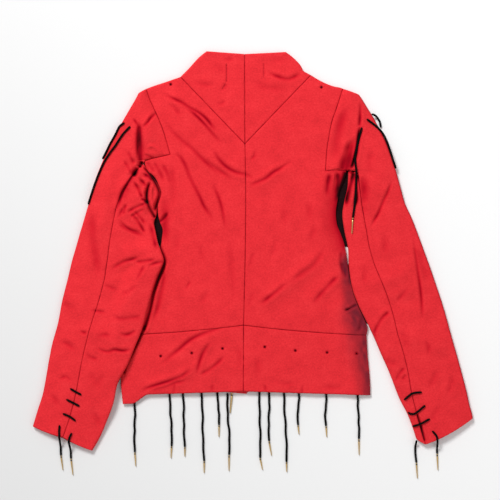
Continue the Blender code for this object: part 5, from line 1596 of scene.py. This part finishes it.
# The laces under the hem: round braided cotton in black, about 4 mm thick and closed at both ends.
# Twelve hang out nearly straight over the board, each with its aglet, and one more aglet lies under
# the hem beside the sixth.
LACE = 4.2
LACE_SIDES = 12
LACE_STEP = 10.5
LACE_RINGS = 2.1
LACE_END = (0.5, 0.95, 1.0)
BRAID_TURNS = 3
BRAID_LENGTH = 4.4
KINK = 0.7
KINKS = 3.3
HEM_LACE_HEIGHT = 2.2
HEM_COLUMN = 10.0
AGLET_GAP = 0.2
AGLET_HEIGHT = 2.6
AGLET_TIP_HEIGHT = 2.3
LOOSE_AGLET_X = -41.0
LOOSE_AGLET_TIP = (-44.5, -316.0)
LOOSE_AGLET_STOUT = 1.3
HemLace = namedtuple("HemLace", "start_x sway end aglet_tip")
HEM_LACES = (
    HemLace(-231.0, 0.8, (-230.0, -393.0), (-228.0, -420.0)),
    HemLace(-161.5, -0.9, (-158.5, -381.0), (-159.5, -404.0)),
    HemLace(-137.0, 0.7, (-132.5, -383.0), (-132.5, -401.0)),
    HemLace(-101.0, 0.6, (-95.0, -410.0), (-95.0, -433.0)),
    HemLace(-69.0, -0.6, (-66.0, -340.0), (-66.0, -363.0)),
    HemLace(-49.0, -1.4, (-46.5, -398.0), (-46.5, -429.0)),
    HemLace(13.0, -0.6, (14.0, -404.0), (19.0, -427.0)),
    HemLace(31.0, 0.8, (31.5, -371.0), (36.5, -399.0)),
    HemLace(61.0, -1.0, (65.5, -412.0), (66.0, -431.0)),
    HemLace(89.0, 1.2, (88.0, -340.0), (90.0, -358.0)),
    HemLace(141.5, 1.5, (142.5, -342.0), (144.0, -363.0)),
    HemLace(204.5, -0.6, (206.5, -367.0), (207.0, -398.0)))


def braid(name):
    """Black braided cotton: strands that cross round the lace, a little lighter where they stand highest.
    """
    material = bpy.data.materials.new(name)
    material.use_nodes = True
    nodes = material.node_tree.nodes
    link = material.node_tree.links.new
    shader = nodes["Principled BSDF"]
    shader.inputs["Specular IOR Level"].default_value = 0.06
    shader.inputs["Roughness"].default_value = 0.8
    round_lace = nodes.new("ShaderNodeUVMap")
    round_lace.uv_map = "braid"
    both = nodes.new("ShaderNodeMath")
    both.operation = "MAXIMUM"
    for socket, slant in zip(both.inputs, (45, -45)):
        turned = nodes.new("ShaderNodeMapping")
        turned.inputs["Rotation"].default_value = (0, 0, math.radians(slant))
        strands = nodes.new("ShaderNodeTexWave")
        strands.inputs["Scale"].default_value = 0.9
        strands.inputs["Distortion"].default_value = 0.6
        link(round_lace.outputs["UV"], turned.inputs["Vector"])
        link(turned.outputs["Vector"], strands.inputs["Vector"])
        link(strands.outputs["Fac"], socket)
    tones = nodes.new("ShaderNodeValToRGB")
    tones.color_ramp.elements[0].color = (0.001, 0.0009, 0.0009, 1)
    tones.color_ramp.elements[1].color = (0.004, 0.0034, 0.0034, 1)
    bump = nodes.new("ShaderNodeBump")
    bump.inputs["Strength"].default_value = 0.6
    bump.inputs["Distance"].default_value = 0.0004
    link(both.outputs["Value"], tones.inputs["Fac"])
    link(tones.outputs["Color"], shader.inputs["Base Color"])
    link(both.outputs["Value"], bump.inputs["Height"])
    link(bump.outputs["Normal"], shader.inputs["Normal"])
    return material


black_braid = braid("black_braid")


def smooth_route(points, step):
    """Evenly spaced places on a smooth curve through a route's own points."""
    ends = [tuple(np.subtract(np.multiply(points[0], 2), points[1])), *points,
            tuple(np.subtract(np.multiply(points[-1], 2), points[-2]))]
    route = []
    for before, start, end, after in zip(ends, ends[1:], ends[2:], ends[3:]):
        count = max(1, round(math.dist(start, end) / step))
        for part in range(count):
            t = part / count
            route.append(tuple(
                0.5 * (2 * b + (c - a) * t + (2 * a - 5 * b + 4 * c - d) * t ** 2
                       + (3 * b - a - 3 * c + d) * t ** 3)
                for a, b, c, d in zip(before, start, end, after)))
    route.append(tuple(points[-1]))
    return route


def lace(name, route):
    """A round lace along its points, closed at both ends, and the line down its middle."""
    line = np.array(smooth_route(route, LACE_RINGS))
    ahead = np.gradient(line, axis=0)
    ahead /= np.linalg.norm(ahead, axis=1)[:, None]
    aside = np.cross(ahead, (0.0, 0.0, 1.0))
    aside /= np.linalg.norm(aside, axis=1)[:, None]
    up = np.cross(aside, ahead)
    turn = np.arange(LACE_SIDES) / LACE_SIDES * math.tau
    from_end = np.minimum(np.arange(len(line)), np.arange(len(line))[::-1])
    radius = LACE / 2 * np.interp(from_end, (0, 1, 2), LACE_END)
    ring = np.cos(turn)[None, :, None] * aside[:, None] + np.sin(turn)[None, :, None] * up[:, None]
    points = line[:, None] + ring * radius[:, None, None]
    steps = np.concatenate(([0.0], np.cumsum(np.linalg.norm(np.diff(line, axis=0), axis=1))))
    faces = []
    plan = []
    for row in range(len(line) - 1):
        for side in range(LACE_SIDES):
            after = (side + 1) % LACE_SIDES
            first, second = row * LACE_SIDES, (row + 1) * LACE_SIDES
            faces.append((first + side, first + after, second + after, second + side))
            for across, down in ((side, row), (side + 1, row), (side + 1, row + 1), (side, row + 1)):
                plan.append((across / LACE_SIDES * BRAID_TURNS, steps[down] / BRAID_LENGTH))
    last = (len(line) - 1) * LACE_SIDES
    faces.append(tuple(range(LACE_SIDES - 1, -1, -1)))
    faces.append(tuple(range(last, last + LACE_SIDES)))
    plan += [(side / LACE_SIDES * BRAID_TURNS, 0.0) for side in range(LACE_SIDES - 1, -1, -1)]
    plan += [(side / LACE_SIDES * BRAID_TURNS, steps[-1] / BRAID_LENGTH) for side in range(LACE_SIDES)]
    mesh = bpy.data.meshes.new(name)
    mesh.from_pydata((points.reshape(-1, 3) * MM).tolist(), [], faces)
    mesh.uv_layers.new(name="braid").data.foreach_set("uv", np.array(plan).ravel())
    mesh.shade_smooth()
    item = bpy.data.objects.new(name, mesh)
    bpy.context.scene.collection.objects.link(item)
    item.data.materials.append(black_braid)
    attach(item, "root")
    return item, (line * MM).tolist(), float(steps[-1]) * MM


def laced_end(name, route, tip):
    """A free lace with its aglet, which starts just off the end of the lace."""
    end = Vector(route[-1])
    ahead = (Vector(tip) - end).normalized()
    metal = aglet("brass_" + name.replace("lace", "aglet"), tuple(end + ahead * AGLET_GAP), tip)
    item, path, length = lace("braid_" + name, route)
    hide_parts(name)


def below_hem_y(x):
    """Where a lace starts, just clear of the front hem on each side of it."""
    lowest = []
    for place in (x - HEM_COLUMN, x, x + HEM_COLUMN):
        corner = SKIRT_LEFT[-1] if place < CLOSING_X else SKIRT_RIGHT[-1]
        share = (place - CLOSING_X) / (corner[0] - CLOSING_X)
        lowest.append(front_hem_shape(place, CENTRE_HEM[1] + (corner[1] - CENTRE_HEM[1]) * share))
    return float(min(lowest)) - SEAM_GAP


for number, row in enumerate(HEM_LACES, 1):
    start = (row.start_x, below_hem_y(row.start_x))
    count = max(3, round(math.dist(start, row.end) / LACE_STEP))
    route = []
    for part in range(count + 1):
        share = part / count
        x, y = np.add(start, np.subtract(row.end, start) * share)
        kink = KINK * math.sin(KINKS * math.tau * share + row.start_x) * math.sin(math.pi * share)
        route.append((x + row.sway * math.sin(math.tau * share) + kink, y, HEM_LACE_HEIGHT))
    laced_end("hem_lace_%02d" % number, route, (*row.aglet_tip, AGLET_TIP_HEIGHT))
aglet("brass_hem_aglet_loose", (LOOSE_AGLET_X, below_hem_y(LOOSE_AGLET_X), AGLET_HEIGHT),
      (*LOOSE_AGLET_TIP, AGLET_HEIGHT), LOOSE_AGLET_STOUT)


# The laces that lie on the cloth all along: three bars across the seam of each cuff, which go into
# the cloth at both ends, and two strands that run over each sleeve head and the sleeve's edge.
LIE_GAP = 0.15
LIE_RINGS = ((0.0, 1), (0.35, 6), (0.7, 10), (1.0, 14))
FINE_STEPS = 5
STEEPEST = 0.8
CUFF_BARS = (
    ("cuff_bar_left_1", ((-353.5, -266.5), (-343.0, -272.5), (-332.0, -278.5))),
    ("cuff_bar_left_2", ((-361.0, -287.5), (-348.0, -294.0), (-335.5, -300.5))),
    ("cuff_bar_left_3", ((-368.0, -315.0), (-355.0, -320.5), (-343.0, -329.0))),
    ("cuff_bar_right_1", ((293.0, -289.0), (308.5, -276.5), (327.0, -273.5))),
    ("cuff_bar_right_2", ((300.0, -313.0), (312.5, -316.0), (333.5, -299.0))),
    ("cuff_bar_right_3", ((309.5, -340.5), (325.0, -335.0), (342.5, -325.0))))
SHOULDER_LACES = (
    ("shoulder_lace_left_1", ((-237.5, 241.0), (-252.5, 225.0), (-266.5, 204.0), (-277.0, 190.0),
                              (-286.0, 176.0), (-295.0, 158.0), (-307.0, 128.0), (-319.5, 90.0))),
    ("shoulder_lace_left_2", ((-249.0, 248.5), (-259.0, 241.0), (-267.0, 225.0), (-277.5, 206.5),
                              (-284.0, 193.0), (-292.0, 178.0))),
    ("shoulder_lace_right_1", ((220.5, 255.0), (230.4, 248.2), (243.5, 237.5), (253.5, 226.0),
                               (260.0, 212.5), (265.8, 195.5), (271.5, 177.0), (277.5, 159.5))),
    ("shoulder_lace_right_2", ((230.5, 265.5), (239.5, 262.0), (246.5, 253.0), (249.5, 240.0))))


def lie_height(x, y, radius):
    """Height of the middle of a lace that lies on the cloth, or on the board beside it."""
    height = radius
    ball = radius + LIE_GAP
    for ring, count in LIE_RINGS:
        for part in range(count):
            turn = math.tau * part / count
            reach = ball * ring
            over = Vector((x + reach * math.cos(turn), y + reach * math.sin(turn), ABOVE))
            hit = top_cloth.ray_cast(over, Vector((0, 0, -1)))[0]
            if hit:
                height = max(height, hit.z + math.sqrt(max(ball ** 2 - reach ** 2, 0.0)))
    return height


def lie_route(points, radius):
    """A lace's route over the cloth, clear of each bump and with no drop too steep for a lace."""
    fine = smooth_route(points, LACE_STEP / FINE_STEPS)
    heights = [lie_height(x, y, radius) for x, y in fine]
    lifted = []
    for x, y in smooth_route(points, LACE_STEP / 2):
        reach = [height - STEEPEST * max(math.dist((x, y), place) - LACE_STEP / 4, 0)
                 for height, place in zip(heights, fine)]
        lifted.append((x, y, max(reach)))
    return lifted


for name, points in CUFF_BARS:
    item = lace("braid_" + name, lie_route(points, LACE / 2))[0]
    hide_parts(name)
for name, points in SHOULDER_LACES:
    item, path, length = lace("braid_" + name, lie_route(points, LACE / 2))
    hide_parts(name)


# The last free ends, each with its aglet: two that close each cuff and hang down from it, and one
# that comes out of the right armhole and hangs in the underarm opening.
AGLET_ROOM = 5.0
CUFF_LACES = (
    ("cuff_lace_left_1", ((-374.0, -337.5), (-375.0, -350.0), (-374.5, -363.0), (-374.5, -382.0),
                          (-374.0, -399.0)), (-370.0, -427.5)),
    ("cuff_lace_left_2", ((-350.5, -352.5), (-356.0, -366.0), (-355.0, -386.5), (-354.5, -405.0)),
     (-350.5, -437.0)),
    ("cuff_lace_right_1", ((347.0, -348.5), (355.5, -358.5), (357.5, -371.0), (359.0, -395.5)),
     (360.5, -427.5)),
    ("cuff_lace_right_2", ((317.8, -367.9), (316.5, -382.0), (316.5, -394.0), (318.5, -413.0)),
     (320.5, -443.5)))
UNDERARM_LACE = (
    (211.0, 239.0), (203.5, 210.0), (198.0, 179.0), (200.5, 145.0), (198.0, 99.0), (193.5, 64.0))
UNDERARM_TIP = (191.5, 33.0)

for name, points, tip in CUFF_LACES:
    laced_end(name, lie_route(points, LACE / 2), (*tip, AGLET_TIP_HEIGHT))
route = lie_route(UNDERARM_LACE, LACE / 2)
middle = tuple(np.add(route[-1][:2], UNDERARM_TIP) / 2)
height = max(lie_height(x, y, AGLET_ROOM / 2) for x, y in (route[-1][:2], middle, UNDERARM_TIP))
laced_end("underarm_lace", route, (*UNDERARM_TIP, height))
bpy.data.objects.remove(aglet_model)
